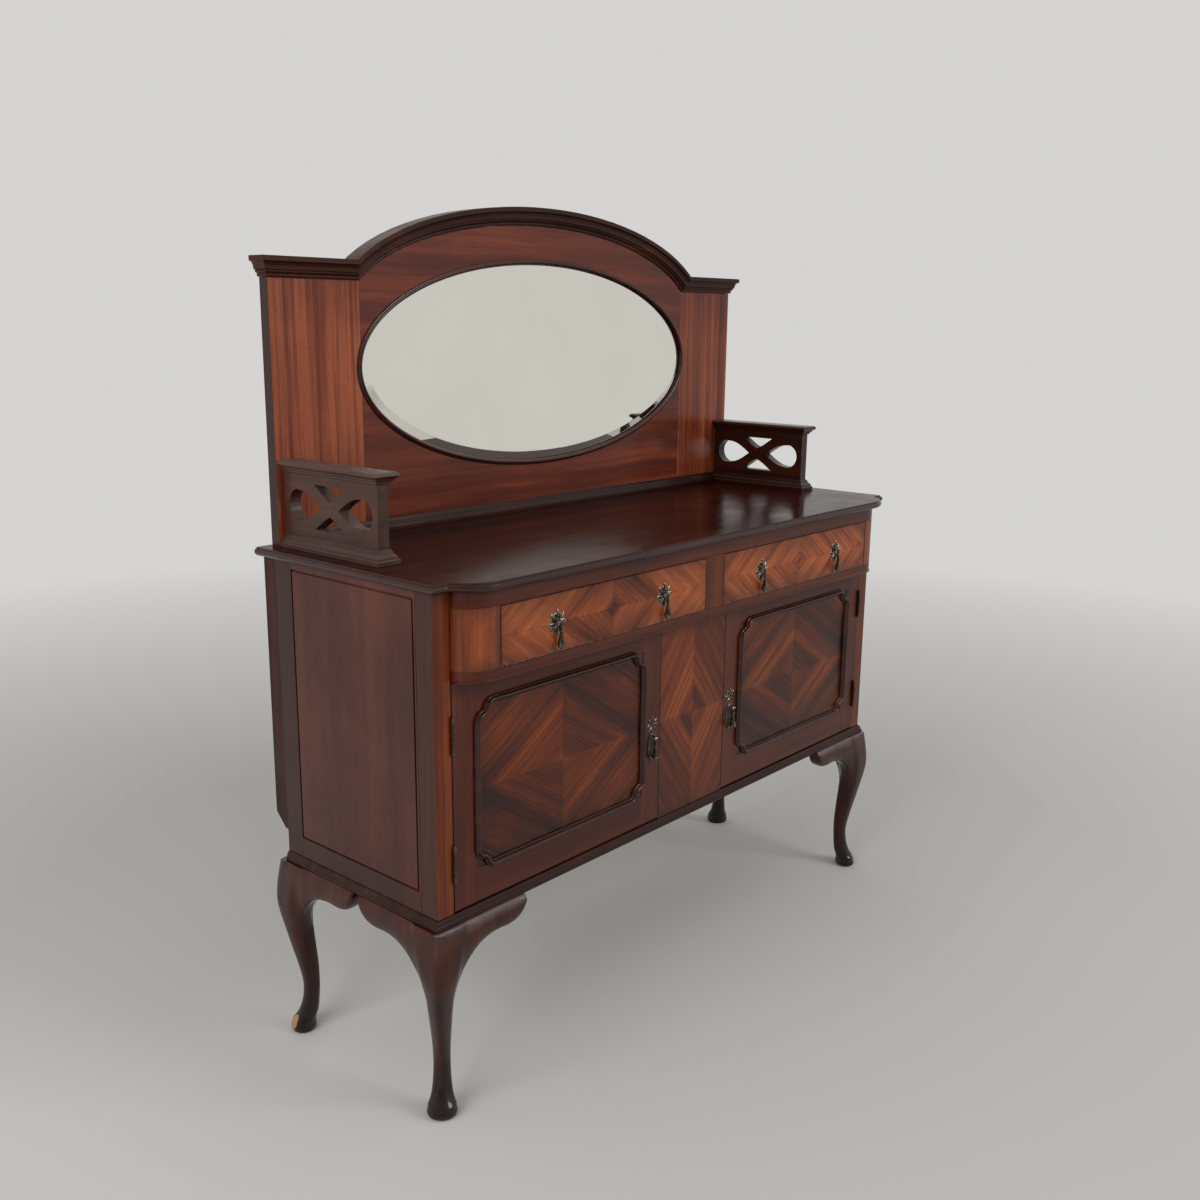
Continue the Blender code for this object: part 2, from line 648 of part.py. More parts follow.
def build_door(side, word):
    """One door: its frame, panel, applied moulding and hinges. Its origin is on the hinge axis."""
    axis = (side * POST_INNER, HINGE_Y, DOOR_BOTTOM)
    left, right = sorted((side * DOOR_INNER, side * DOOR_OUTER))
    opening_left = left + DOOR_STILE
    opening_right = right - DOOR_STILE
    opening_bottom = DOOR_BOTTOM + DOOR_BOTTOM_RAIL
    opening_top = DOOR_TOP - DOOR_TOP_RAIL
    outline = [(left, DOOR_BOTTOM), (right, DOOR_BOTTOM), (right, DOOR_TOP), (left, DOOR_TOP)]
    opening = [(opening_left, opening_bottom), (opening_right, opening_bottom),
               (opening_right, opening_top), (opening_left, opening_top)]
    bm = bmesh.new()
    add_plate(bm, outline, [opening], front_plane(CASE_FRONT), DOOR_THICK)
    keep("door_frame_" + word, bm, FLAME_VENEER, origin=axis)
    bm = bmesh.new()
    depth = CASE_FRONT + DOOR_PANEL_SINK
    span_box(bm, (opening_left + GAP, depth, opening_bottom + GAP),
             (opening_right - GAP, depth + DOOR_PANEL_THICK, opening_top - GAP))
    keep("door_panel_" + word, bm, FLAME_VENEER, origin=axis)
    lap = MOULDING_OVERLAP
    path = moulding_path(opening_left - lap, opening_right + lap, opening_bottom - lap, opening_top + lap)
    high = MOULDING_HEIGHT
    wide = MOULDING_WIDTH
    profile = [(0.0, 0.0), (0.0, high * 0.35), (wide * 0.10, high * 0.55), (wide * 0.22, high * 0.50),
               (wide * 0.34, high * 0.92), (wide * 0.50, high), (wide * 0.66, high * 0.84),
               (wide * 0.80, high * 0.40), (wide, high * 0.25), (wide, 0.0)]
    swept_frame("door_moulding_" + word, path, profile, CASE_FRONT - GAP, DARK_MAHOGANY, 35, axis)
    for level, level_word in ((DOOR_BOTTOM + HINGE_FROM_END, "lower"),
                              (DOOR_TOP - HINGE_FROM_END - HINGE_LENGTH, "upper")):
        build_hinge("hinge_" + level_word + "_" + word, side, level, axis)


def build_hinge(name, side, level, axis):
    """Butt hinge: a ringed knuckle in front of the joint, with its leaf on the door's edge."""
    steps = 12
    section, thin, tip = (arc((axis[0], HINGE_Y), (HINGE_RADIUS * share, HINGE_RADIUS * share), 0,
                              360 - 360 / steps, steps - 1) for share in (1.0, 0.86, 0.5))
    pitch = HINGE_LENGTH / HINGE_KNUCKLES
    groove = 0.0005
    cap_start = 0.0012
    cap_end = 0.0030
    stack = [(tip, -cap_end), (section, -cap_start), (section, 0.0)]
    for index in range(HINGE_KNUCKLES - 1):
        seam = (index + 1) * pitch
        stack += [(section, seam - groove), (thin, seam), (section, seam + groove)]
    stack += [(section, HINGE_LENGTH), (section, HINGE_LENGTH + cap_start), (tip, HINGE_LENGTH + cap_end)]
    rings = [[(x, y, level + rise) for x, y in loop] for loop, rise in stack]
    item = layered(name, rings, OLD_BRASS, 40, axis)
    bm = bmesh.new()
    leaf_x = DOOR_OUTER + GAP
    low, high = mirrored(side, (leaf_x, HINGE_Y, level),
                         (leaf_x + HINGE_LEAF_THICK, CASE_FRONT + HINGE_LEAF_WIDTH, level + HINGE_LENGTH))
    span_box(bm, low, high)
    leaf = keep(name + "_leaf_guide", bm, OLD_BRASS, origin=axis)
    join_boolean(item, leaf, "UNION")
    settle(item, leaf)


def leafy_arc(centre, width, height, start, end, steps):
    """Part of a plate's outline that runs out into pointed leaves, angles clockwise from the top."""
    points = []
    for index in range(steps + 1):
        turn = math.radians(start + (end - start) * index / steps)
        swell = 1 - LEAF_DEPTH * abs(math.sin(PLATE_LEAVES * turn / 2))
        points.append((centre[0] + width / 2 * swell * math.sin(turn),
                       centre[1] + height / 2 * swell * math.cos(turn)))
    return points


def build_handle(name, face_y, outline, holes, pivot, drop_length):
    """Cast back plate with two cheeks, and the pear drop that swings between them at the pivot's x and z."""
    x, pivot_z = pivot
    pivot_y = face_y - PLATE_THICK - PIVOT_REACH
    bm = bmesh.new()
    add_plate(bm, outline, holes, front_plane(face_y - PLATE_THICK), PLATE_THICK - GAP)
    plate = keep(name + "_plate", bm, OLD_BRASS)
    guides = []
    half = BARREL_LENGTH / 2 + GAP
    for cheek in (-1, 1):
        bm = bmesh.new()
        start = x + cheek * half
        profile = [(face_y - PLATE_THICK / 2, pivot_z - BARREL_RADIUS)]
        profile += [(pivot_y + v, pivot_z + u) for u, v in
                    arc((0.0, 0.0), (BARREL_RADIUS, BARREL_RADIUS), -180, 0, 6)]
        profile.append((face_y - PLATE_THICK / 2, pivot_z + BARREL_RADIUS))
        add_layers(bm, [[(start + cheek * reach, y, z) for y, z in profile] for reach in (0.0, CHEEK_THICK)])
        guide = keep(name + "_cheek_guide", bm, OLD_BRASS)
        join_boolean(plate, guide, "UNION")
        guides.append(guide)
    settle(plate, *guides)
    build_drop(name + "_drop", (x, pivot_y, pivot_z), drop_length)


def build_drop(name, pivot, length):
    """Pear drop with its barrel on the pivot, a long thin neck with a ring, the pear and a small tip."""
    shape = [(0.09, 0.0), (0.32, 0.018), (0.34, 0.058), (0.22, 0.085), (0.70, 0.14), (1.0, 0.25), (0.86, 0.38),
             (0.52, 0.54), (0.29, 0.72), (0.42, 0.77), (0.22, 0.82), (0.18, 1 - BARREL_RADIUS / 2 / length)]
    sides = 12
    rings = []
    for share, rise in shape:
        radius = share * DROP_RADIUS
        ring = arc((pivot[0], pivot[1]), (radius, radius), 0, 360 - 360 / sides, sides - 1)
        rings.append([(x, y, pivot[2] + (rise - 1) * length) for x, y in ring])
    item = layered(name, rings, OLD_BRASS, 40, pivot)
    bm = bmesh.new()
    half = BARREL_LENGTH / 2
    barrel = arc((pivot[1], pivot[2]), (BARREL_RADIUS, BARREL_RADIUS), 0, 324, 9)
    add_layers(bm, [[(pivot[0] + x, y, z) for y, z in barrel] for x in (-half, half)])
    guide = keep(name + "_barrel_guide", bm, OLD_BRASS, origin=pivot)
    join_boolean(item, guide, "UNION")
    settle(item, guide)
    return item


def build_door_handle(side, word):
    """Long oval plate under a leafy escutcheon with its keyhole, and the drop, on the door's inner stile."""
    x = side * (DOOR_INNER + DOOR_HANDLE_INSET)
    pivot_z = (DOOR_BOTTOM + DOOR_TOP) / 2 - DOOR_HANDLE_DROP
    foot = pivot_z - DOOR_PIVOT_FROM_FOOT
    eye = (x, foot + DOOR_PLATE_HEIGHT - ESCUTCHEON_WIDTH / 2)
    outline = leafy_arc(eye, ESCUTCHEON_WIDTH, ESCUTCHEON_WIDTH, -135, 135, 24)
    outline += arc((x, foot + DROP_PLATE_HEIGHT / 2), (DROP_PLATE_WIDTH / 2, DROP_PLATE_HEIGHT / 2),
                   62, -242, 13)
    keyhole = arc(eye, (KEYHOLE_WIDTH / 2, KEYHOLE_HEIGHT / 2), 0, 315, 7)
    build_handle("door_handle_" + word, CASE_FRONT, outline, [keyhole], (x, pivot_z), DOOR_DROP_LENGTH)


def build_drawer(side, word):
    """One drawer: a veneered front, a box that is open above, and two handles."""
    low = DRAWER_FLOOR + 2 * GAP
    high = FRIEZE_HEAD_BOTTOM - REVEAL
    left, right = sorted((side * (DIVIDER_WIDTH / 2), side * DRAWER_OUTER))
    front_back = FRIEZE_Y + DRAWER_FRONT_THICK
    board("drawer_front_" + word, (left, FRIEZE_Y, low), (right, front_back, high), FLAME_VENEER, 0.0006)
    bm = bmesh.new()
    start = front_back + GAP
    end = BACKS_FRONT - DRAWER_BACK_ROOM
    top = high - DRAWER_HEAD_ROOM
    wall = DRAWER_SIDE_THICK
    floor = low + DRAWER_BOTTOM_RAISE + DRAWER_BOTTOM_THICK
    span_box(bm, (left + GAP, start, low), (right - GAP, end, top))
    box = keep("drawer_box_" + word, bm, OAK_LINING)
    bm = bmesh.new()
    span_box(bm, (left + GAP + wall, start + wall, floor), (right - GAP - wall, end - wall, top + wall))
    hollow = keep("drawer_hollow_" + word, bm, OAK_LINING)
    join_boolean(box, hollow, "DIFFERENCE")
    bm = bmesh.new()
    span_box(bm, (left + GAP + wall, start + wall, low - wall),
             (right - GAP - wall, end - wall, low + DRAWER_BOTTOM_RAISE))
    underside = keep("drawer_underside_" + word, bm, OAK_LINING)
    join_boolean(box, underside, "DIFFERENCE")
    settle(box, hollow, underside)
    centre = (left + right) / 2
    plate_z = (low + high) / 2
    for turn, turn_word in SIDES:
        x = centre + turn * DRAWER_HANDLE_SPREAD
        outline = leafy_arc((x, plate_z), PLATE_WIDTH, PLATE_HEIGHT, 0, 348.75, 31)
        build_handle("drawer_" + word + "_handle_" + turn_word, FRIEZE_Y, outline, [],
                     (x, plate_z + DRAWER_PIVOT_RISE), DRAWER_DROP_LENGTH)


def arch_half_width():
    """Half width of the whole ellipse whose upper part is the arch."""
    full = ARCH_RISE + ARCH_ROUND
    return ARCH_HALF / math.sqrt(1 - (ARCH_ROUND / full) ** 2)


def arch_points(steps):
    """The arch from its left foot to its right foot."""
    full = ARCH_RISE + ARCH_ROUND
    width = arch_half_width()
    centre_z = WING_Z - ARCH_ROUND
    foot = math.degrees(math.asin(ARCH_ROUND / full))
    return arc((0.0, centre_z), (width, full), 180 - foot, foot, steps)


def cornice_profile():
    """Cornice levels: how far it stands out from the board, and how far up."""
    high = CORNICE_HEIGHT
    cove = arc((0.0165, high * 0.36), (0.0070, high * 0.38), 180, 90, 3)
    levels = [(0.0, 0.0), (0.0035, 0.0006), (0.0045, high * 0.09), (0.0035, high * 0.16),
              (0.0060, high * 0.20), (0.0082, high * 0.27), (0.0072, high * 0.34)]
    levels += [(out + 0.0006, up) for out, up in cove]
    levels += [(0.0185, high * 0.75), (0.0185, high * 0.97), (0.0178, high)]
    return levels


def build_cornice():
    """Arched cornice and its two straight wings, mitred to the arch and returned at the ends."""
    steps = 30
    path = arch_points(steps)
    tangents = []
    for index in range(len(path)):
        before = Vector(path[max(index - 1, 0)])
        after = Vector(path[min(index + 1, steps)])
        tangents.append((after - before).normalized())
    levels = cornice_profile()
    start_slope = math.atan2(tangents[0].y, tangents[0].x)
    lean = math.tan(start_slope / 2)
    rings = []
    lift = GAP
    for index, point in enumerate(path):
        if index == 0:
            across = Vector((-lean, 1.0))
        elif index == steps:
            across = Vector((lean, 1.0))
        else:
            across = Vector((-tangents[index].y, tangents[index].x))
        base = Vector(point) + Vector((0.0, lift))
        inset = GAP / 2 if index == 0 else (-GAP / 2 if index == steps else 0.0)
        ring = []
        for out, up in levels:
            spot = base + across * up
            ring.append((spot.x + inset, MIRROR_FRONT_Y - out, spot.y))
        for up in (CORNICE_HEIGHT, 0.0):
            spot = base + across * up
            ring.append((spot.x + inset, MIRROR_BACK_Y, spot.y))
        rings.append(ring)
    layered("cornice_arch", rings, DARK_MAHOGANY, 40)
    for side, word in SIDES:
        rings = []
        for out, up in levels:
            inner = side * (ARCH_HALF + lean * up + GAP / 2)
            outer = side * (MIRROR_WIDTH / 2 + out)
            z = WING_Z + lift + up
            rings.append([(inner, MIRROR_FRONT_Y - out, z), (outer, MIRROR_FRONT_Y - out, z),
                          (outer, MIRROR_BACK_Y, z), (inner, MIRROR_BACK_Y, z)])
        layered("cornice_" + word, rings, DARK_MAHOGANY)


def oval(grow, steps):
    """Points on the oval, grown or shrunk by a distance square to its edge, anticlockwise."""
    points = []
    for index in range(steps):
        angle = 2 * math.pi * index / steps
        x = OVAL_HALF_WIDTH * math.cos(angle)
        z = OVAL_HALF_HEIGHT * math.sin(angle)
        normal = Vector((math.cos(angle) / OVAL_HALF_WIDTH, math.sin(angle) / OVAL_HALF_HEIGHT)).normalized()
        points.append((x + normal.x * grow, OVAL_Z + z + normal.y * grow))
    return points


def build_mirror():
    """Mirror back: shaped board, bevelled oval glass, the bead that holds it and the backing."""
    half = MIRROR_WIDTH / 2
    outline = [(-half, MIRROR_FOOT), (half, MIRROR_FOOT), (half, WING_Z)]
    outline += list(reversed(arch_points(30)))
    outline.append((-half, WING_Z))
    hole = oval(-BEAD_WIDTH + GLASS_LAP + GAP, OVAL_POINTS)
    bm = bmesh.new()
    add_plate(bm, outline, [hole], front_plane(MIRROR_FRONT_Y), MIRROR_THICK)
    keep("mirror_board", bm, RED_MAHOGANY, 30)
    glass_front = MIRROR_FRONT_Y + GAP
    glass_edge = -BEAD_WIDTH + GLASS_LAP
    rings = []
    for grow, depth in ((glass_edge - GLASS_BEVEL, 0.0), (glass_edge, GLASS_EDGE), (glass_edge, GLASS_THICK)):
        rings.append([(x, glass_front + depth, z) for x, z in oval(grow, OVAL_POINTS)])
    layered("mirror_glass", rings, SILVERED_GLASS)
    wide = BEAD_WIDTH
    high = BEAD_HEIGHT
    profile = [(0.0, 0.0), (0.0, high * 0.40), (wide * 0.24, high * 0.84), (wide * 0.50, high),
               (wide * 0.76, high * 0.76), (wide, 0.0)]
    swept_frame("mirror_bead", oval(0.0, OVAL_POINTS), profile, MIRROR_FRONT_Y - GAP, DARK_MAHOGANY, 40,
                (0.0, 0.0, 0.0))
    reach = OVAL_HALF_WIDTH + BACKING_MARGIN
    rise = OVAL_HALF_HEIGHT + BACKING_MARGIN
    shoulder = OVAL_Z + rise / 3
    outline = [(-reach, OVAL_Z - rise), (reach, OVAL_Z - rise), (reach, shoulder), (reach / 2, OVAL_Z + rise),
               (-reach / 2, OVAL_Z + rise), (-reach, shoulder)]
    bm = bmesh.new()
    add_plate(bm, outline, [], front_plane(MIRROR_BACK_Y + GAP), BACKING_THICK)
    keep("mirror_backing", bm, PLAIN_PINE)


def build_foot_moulding():
    """Beaded moulding where the mirror back meets the top, between the galleries."""
    reach = TOP_WIDTH / 2 - GALLERY_INSET - GALLERY_THICK - GALLERY_SPREAD - GAP
    high = FOOT_MOULD_HEIGHT
    out = FOOT_MOULD_DEPTH
    front = MIRROR_FRONT_Y - GAP
    profile = [(0.0, 0.0), (out, 0.0), (out, high * 0.30), (out * 0.86, high * 0.36),
               (out * 0.80, high * 0.48), (out * 0.66, high * 0.56), (out * 0.62, high * 0.66),
               (out * 0.42, high * 0.78), (out * 0.30, high), (0.0, high)]
    rings = [[(x, front - forward, MIRROR_FOOT + up) for forward, up in profile] for x in (-reach, reach)]
    layered("mirror_foot_moulding", rings, DARK_MAHOGANY)


def gallery_ring(side, spread, z):
    """Plan ring round one gallery, spread on the front and both faces but not at the back."""
    outer = TOP_WIDTH / 2 - GALLERY_INSET + spread
    inner = TOP_WIDTH / 2 - GALLERY_INSET - GALLERY_THICK - spread
    back = MIRROR_FRONT_Y - GAP
    front = MIRROR_FRONT_Y - GALLERY_LENGTH - spread
    return [(side * inner, front, z), (side * outer, front, z), (side * outer, back, z), (side * inner, back, z)]


def teardrop(direction):
    """One teardrop of the fret, pointed at the crossing, in length and height from the centre."""
    tip = (TEAR_START, 0.0)
    far = TEAR_START + TEAR_LENGTH - TEAR_HALF_HEIGHT
    round_end = arc((far, 0.0), (TEAR_HALF_HEIGHT, TEAR_HALF_HEIGHT), -75, 75, 10)
    lower = smooth_curve([tip, (TEAR_START + 0.020, -0.0135), (TEAR_START + 0.042, -0.0235), round_end[0]], 3)
    upper = [(u, -v) for u, v in reversed(lower)]
    points = lower[:-1] + round_end + upper[1:-1]
    return [(direction * u, v) for u, v in points]


def triangle(direction):
    """One triangle of the fret, with sides hollowed round the teardrops."""
    base = [(-TRIANGLE_HALF, TRIANGLE_FAR), (TRIANGLE_HALF, TRIANGLE_FAR)]
    bend = (TRIANGLE_HALF * 0.42, TRIANGLE_NEAR + (TRIANGLE_FAR - TRIANGLE_NEAR) * 0.36)
    right = [bend, (0.0, TRIANGLE_NEAR), (-bend[0], bend[1])]
    return [(u, direction * v) for u, v in base + right]


def build_galleries():
    """Fretted galleries: a pierced panel on a moulded base, with a moulded cap."""
    foot = TOP_HEIGHT + GAP
    base_top = TOP_HEIGHT + GALLERY_BASE
    cap_bottom = TOP_HEIGHT + GALLERY_HEIGHT - GALLERY_CAP
    base_steps = [(1.0, 0.0), (1.0, 0.30), (0.78, 0.36), (0.78, 0.48), (0.60, 0.62), (0.36, 0.72),
                  (0.30, 0.86), (0.12, 1.0)]
    cap_steps = [(0.0, 0.0), (0.24, 0.05), (0.28, 0.22), (0.48, 0.30), (0.59, 0.46), (0.83, 0.58), (1.0, 0.72),
                 (0.93, 0.88), (0.72, 1.0)]
    middle_y = MIRROR_FRONT_Y - GAP - GALLERY_LENGTH / 2
    middle_z = (base_top + cap_bottom) / 2
    back = MIRROR_FRONT_Y - GAP
    front = MIRROR_FRONT_Y - GALLERY_LENGTH
    start = TOP_WIDTH / 2 - GALLERY_INSET - GALLERY_THICK
    for side, word in SIDES:
        holes = [teardrop(-1), teardrop(1), triangle(1), triangle(-1)]
        placed = [[(middle_y + u, middle_z + v) for u, v in hole] for hole in holes]
        root = base_top - GALLERY_TENON
        outline = [(front, root), (back, root), (back, cap_bottom), (front, cap_bottom)]
        bm = bmesh.new()
        add_plate(bm, outline, placed, lambda u, v, depth: (side * (start + depth), u, v), GALLERY_THICK)
        panel = keep("gallery_panel_" + word, bm, DARK_MAHOGANY, 30)
        rings = [gallery_ring(side, GALLERY_SPREAD * out, foot + up * (GALLERY_BASE - GAP))
                 for out, up in base_steps]
        base = layered("gallery_base_guide_" + word, rings, DARK_MAHOGANY)
        join_boolean(panel, base, "UNION")
        settle(panel, base)
        rings = [gallery_ring(side, GALLERY_CAP_REACH * out, cap_bottom + GAP + up * (GALLERY_CAP - GAP))
                 for out, up in cap_steps]
        layered("gallery_cap_" + word, rings, DARK_MAHOGANY)


def build_sideboard():
    """Build every piece."""
    build_top_board()
    build_posts()
    build_sides()
    build_base_board()
    build_legs()
    build_frieze()
    build_drawer_housing()
    build_centre_panel()
    build_backs()
    for side, word in SIDES:
        build_door(side, word)
        build_door_handle(side, word)
        build_drawer(side, word)
    build_mirror()
    build_cornice()
    build_foot_moulding()
    build_galleries()


build_sideboard()
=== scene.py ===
"""Looks of the mirror-back sideboard: veneers, polish, carved legs, cast handles, light and camera."""
import math

import bmesh
import bpy
from mathutils import Matrix, Vector


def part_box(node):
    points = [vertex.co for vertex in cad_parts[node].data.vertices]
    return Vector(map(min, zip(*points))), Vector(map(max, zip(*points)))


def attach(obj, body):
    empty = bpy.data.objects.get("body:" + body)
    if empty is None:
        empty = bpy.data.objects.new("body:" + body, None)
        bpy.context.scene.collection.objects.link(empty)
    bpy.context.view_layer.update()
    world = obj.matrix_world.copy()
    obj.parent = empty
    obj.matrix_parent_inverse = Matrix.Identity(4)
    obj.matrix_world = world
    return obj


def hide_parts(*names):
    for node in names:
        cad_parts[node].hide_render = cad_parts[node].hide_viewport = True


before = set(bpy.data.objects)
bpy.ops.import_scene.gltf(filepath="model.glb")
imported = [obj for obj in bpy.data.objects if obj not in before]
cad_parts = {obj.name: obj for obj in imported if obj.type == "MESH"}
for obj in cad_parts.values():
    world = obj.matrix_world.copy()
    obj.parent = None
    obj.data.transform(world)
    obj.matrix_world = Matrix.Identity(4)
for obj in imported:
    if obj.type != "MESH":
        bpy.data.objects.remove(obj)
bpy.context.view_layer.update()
SIDES = ((-1, "left"), (1, "right"))


# Node helpers
def plug(tree, socket, value):
    """Link a value that comes from a node, or set a plain one."""
    if isinstance(value, bpy.types.NodeSocket):
        tree.links.new(value, socket)
    elif isinstance(value, tuple) and len(value) == 3 and socket.type == "RGBA":
        socket.default_value = (*value, 1.0)
    else:
        socket.default_value = value


def set_inputs(tree, item, inputs):
    """Set or link several inputs of a node."""
    for key, value in inputs.items():
        plug(tree, item.inputs[key], value)


def node(tree, kind, inputs=None, **settings):
    """Add a shader node, set its options, and set or link its inputs."""
    item = tree.nodes.new("ShaderNode" + kind)
    for key, value in settings.items():
        setattr(item, key, value)
    set_inputs(tree, item, inputs or {})
    return item


def calc(tree, operation, *values):
    """Add one math node and return its result."""
    item = node(tree, "Math", dict(enumerate(values)), operation=operation)
    return item.outputs[0]


def times(tree, first, second):
    """Product of two values."""
    return calc(tree, "MULTIPLY", first, second)


def times_plus(tree, first, second, third):
    """Product of two values with a third added."""
    return calc(tree, "MULTIPLY_ADD", first, second, third)


def split(tree, vector):
    """Return the X, Y and Z of a vector."""
    item = node(tree, "SeparateXYZ", {"Vector": vector})
    return item.outputs["X"], item.outputs["Y"], item.outputs["Z"]


def object_place(tree):
    """Return the X, Y and Z of the shaded point, which stay with the piece when it moves."""
    return split(tree, node(tree, "TexCoord").outputs["Object"])


def facing(tree, kind="Normal"):
    """Return the X, Y and Z of the direction in which the surface faces."""
    return split(tree, node(tree, "NewGeometry").outputs[kind])


def noise(tree, place, scales, seed, detail=3.0, rough=0.6):
    """Noise on three coordinates, with one scale or one each. The seed moves to another stretch of it."""
    if isinstance(scales, float):
        scales = (scales, scales, scales)
    joined = node(tree, "CombineXYZ", {
        "X": times_plus(tree, place[0], scales[0], seed),
        "Y": times_plus(tree, place[1], scales[1], seed * 0.37),
        "Z": times(tree, place[2], scales[2])})
    item = node(tree, "TexNoise", {"Vector": joined.outputs[0], "Scale": 1.0, "Detail": detail,
                                   "Roughness": rough})
    return item.outputs["Fac"]


def ramp(tree, factor, colours, low, high):
    """Colour ramp with its colours spread evenly between two places."""
    item = node(tree, "ValToRGB", {"Fac": factor})
    elements = item.color_ramp.elements
    while len(elements) < len(colours):
        elements.new(0.5)
    for index, colour in enumerate(colours):
        elements[index].position = low + (high - low) * index / (len(colours) - 1)
        elements[index].color = (*colour, 1.0)
    return item.outputs["Color"]


def remap(tree, value, low, high, new_low, new_high):
    """Map a value from one range to another, and keep it inside."""
    item = node(tree, "MapRange", {"Value": value, "From Min": low, "From Max": high,
                                   "To Min": new_low, "To Max": new_high})
    return item.outputs["Result"]


def blend(tree, factor, first, second, mode="MIX"):
    """Mix two colours."""
    item = node(tree, "Mix", {0: factor, 6: first, 7: second}, data_type="RGBA", blend_type=mode)
    return item.outputs[2]


def shade(tree, colour, factor):
    """Multiply a colour by a number."""
    return blend(tree, 1.0, colour, factor, "MULTIPLY")


def new_material(name, coat=0.0, coat_roughness=0.1, metallic=0.0, specular=0.5):
    """Return a material, its tree and its Principled shader."""
    material = bpy.data.materials.new(name)
    material.use_nodes = True
    tree = material.node_tree
    shader = tree.nodes["Principled BSDF"]
    set_inputs(tree, shader, {"Coat Weight": coat, "Coat Roughness": coat_roughness, "Metallic": metallic,
                              "Specular IOR Level": specular})
    return material, tree, shader


def finish_shader(tree, shader, colour, roughness, height=None, strength=0.1, distance=0.001, soft=None):
    """Put the colour, roughness and bump into the shader. The soft normal rounds the edges."""
    set_inputs(tree, shader, {"Base Color": colour, "Roughness": roughness})
    if height is not None:
        bump = node(tree, "Bump", {"Height": height, "Strength": strength, "Distance": distance})
        if soft is not None:
            tree.links.new(soft, bump.inputs["Normal"])
        tree.links.new(bump.outputs["Normal"], shader.inputs["Normal"])


EDGE_ROUND = 0.0012
EDGE_SAMPLES = 3
THIN_POLISH = (0.100, 0.052, 0.032)


def rubbed_arris(tree, place, colour, share):
    """Rub the polish thin along sharp edges, in patches. Returns the colour and the softened normal."""
    soft = node(tree, "Bevel", {"Radius": EDGE_ROUND}, samples=EDGE_SAMPLES).outputs["Normal"]
    flat = node(tree, "NewGeometry").outputs["True Normal"]
    match = node(tree, "VectorMath", {0: soft, 1: flat}, operation="DOT_PRODUCT").outputs["Value"]
    patch = remap(tree, noise(tree, place, 35.0, 13.0, 4.0, 0.65), 0.40, 0.62, 0.15, 1.0)
    edge = times(tree, remap(tree, match, 0.99, 0.86, 0.0, share), patch)
    lighter = blend(tree, 0.45, shade(tree, colour, (2.6, 2.4, 2.2)), THIN_POLISH)
    return blend(tree, edge, colour, lighter), soft


# Grain patterns. Each turns a place into across, along and depth of the grain, and a lighter or darker tone.
LEAF_SHIFT = 0.002
SEAM_HALF = 0.0004
SEAM_TONE = -0.06
WING_SEAM = 0.470
WING_SEAM_HALF = 0.0006
WING_SEAM_TONE = -0.10
WING_DARK_FROM = 1.36
WING_DARK_TO = 1.54
STILE_TONE = 0.02
HANDLE_STILE_TONE = 0.09


def level(tree, x, y, z):
    """Grain from side to side."""
    return z, x, y, 0.0


def crosswise(tree, x, y, z):
    """Grain from front to back."""
    return z, y, x, 0.0


def upright(tree, x, y, z):
    """Grain from floor to ceiling."""
    return x, z, y, 0.0


def choose(tree, pick, first, second):
    """Return the first value where the pick is one, and the second where it is zero."""
    return times_plus(tree, calc(tree, "SUBTRACT", first, second), pick, second)


def matched(centre_x, centre_z, slope, contrast=0.026):
    """Four leaves of veneer matched about a centre, so that their stripes close into diamonds."""
    run = math.atan(slope)

    def pattern(tree, x, y, z):
        right = calc(tree, "SUBTRACT", x, centre_x)
        up = calc(tree, "SUBTRACT", z, centre_z)
        u = calc(tree, "ABSOLUTE", right)
        v = calc(tree, "ABSOLUTE", up)
        across = times_plus(tree, u, math.sin(run), times(tree, v, math.cos(run)))
        along = times_plus(tree, u, math.cos(run), times(tree, v, -math.sin(run)))
        leaf = calc(tree, "GREATER_THAN", times(tree, right, up), 0.0)
        depth = times_plus(tree, leaf, LEAF_SHIFT, y)
        seam = calc(tree, "LESS_THAN", calc(tree, "MINIMUM", u, v), SEAM_HALF)
        # The leaves on one diagonal are painted lighter and the others darker: painted sheen of the grain.
        tone = times_plus(tree, leaf, -2 * contrast, contrast)
        return across, along, depth, times_plus(tree, seam, SEAM_TONE, tone)
    return pattern


def framed(left, right, side):
    """Upright grain on the stiles of a door frame, lighter by the handle, and level grain on its rails."""
    def pattern(tree, x, y, z):
        stile = calc(tree, "MAXIMUM", calc(tree, "LESS_THAN", x, left), calc(tree, "GREATER_THAN", x, right))
        inner = calc(tree, "GREATER_THAN", x, right) if side < 0 else calc(tree, "LESS_THAN", x, left)
        tone = times_plus(tree, inner, HANDLE_STILE_TONE, times(tree, stile, STILE_TONE))
        return choose(tree, stile, x, z), choose(tree, stile, z, x), y, tone
    return pattern


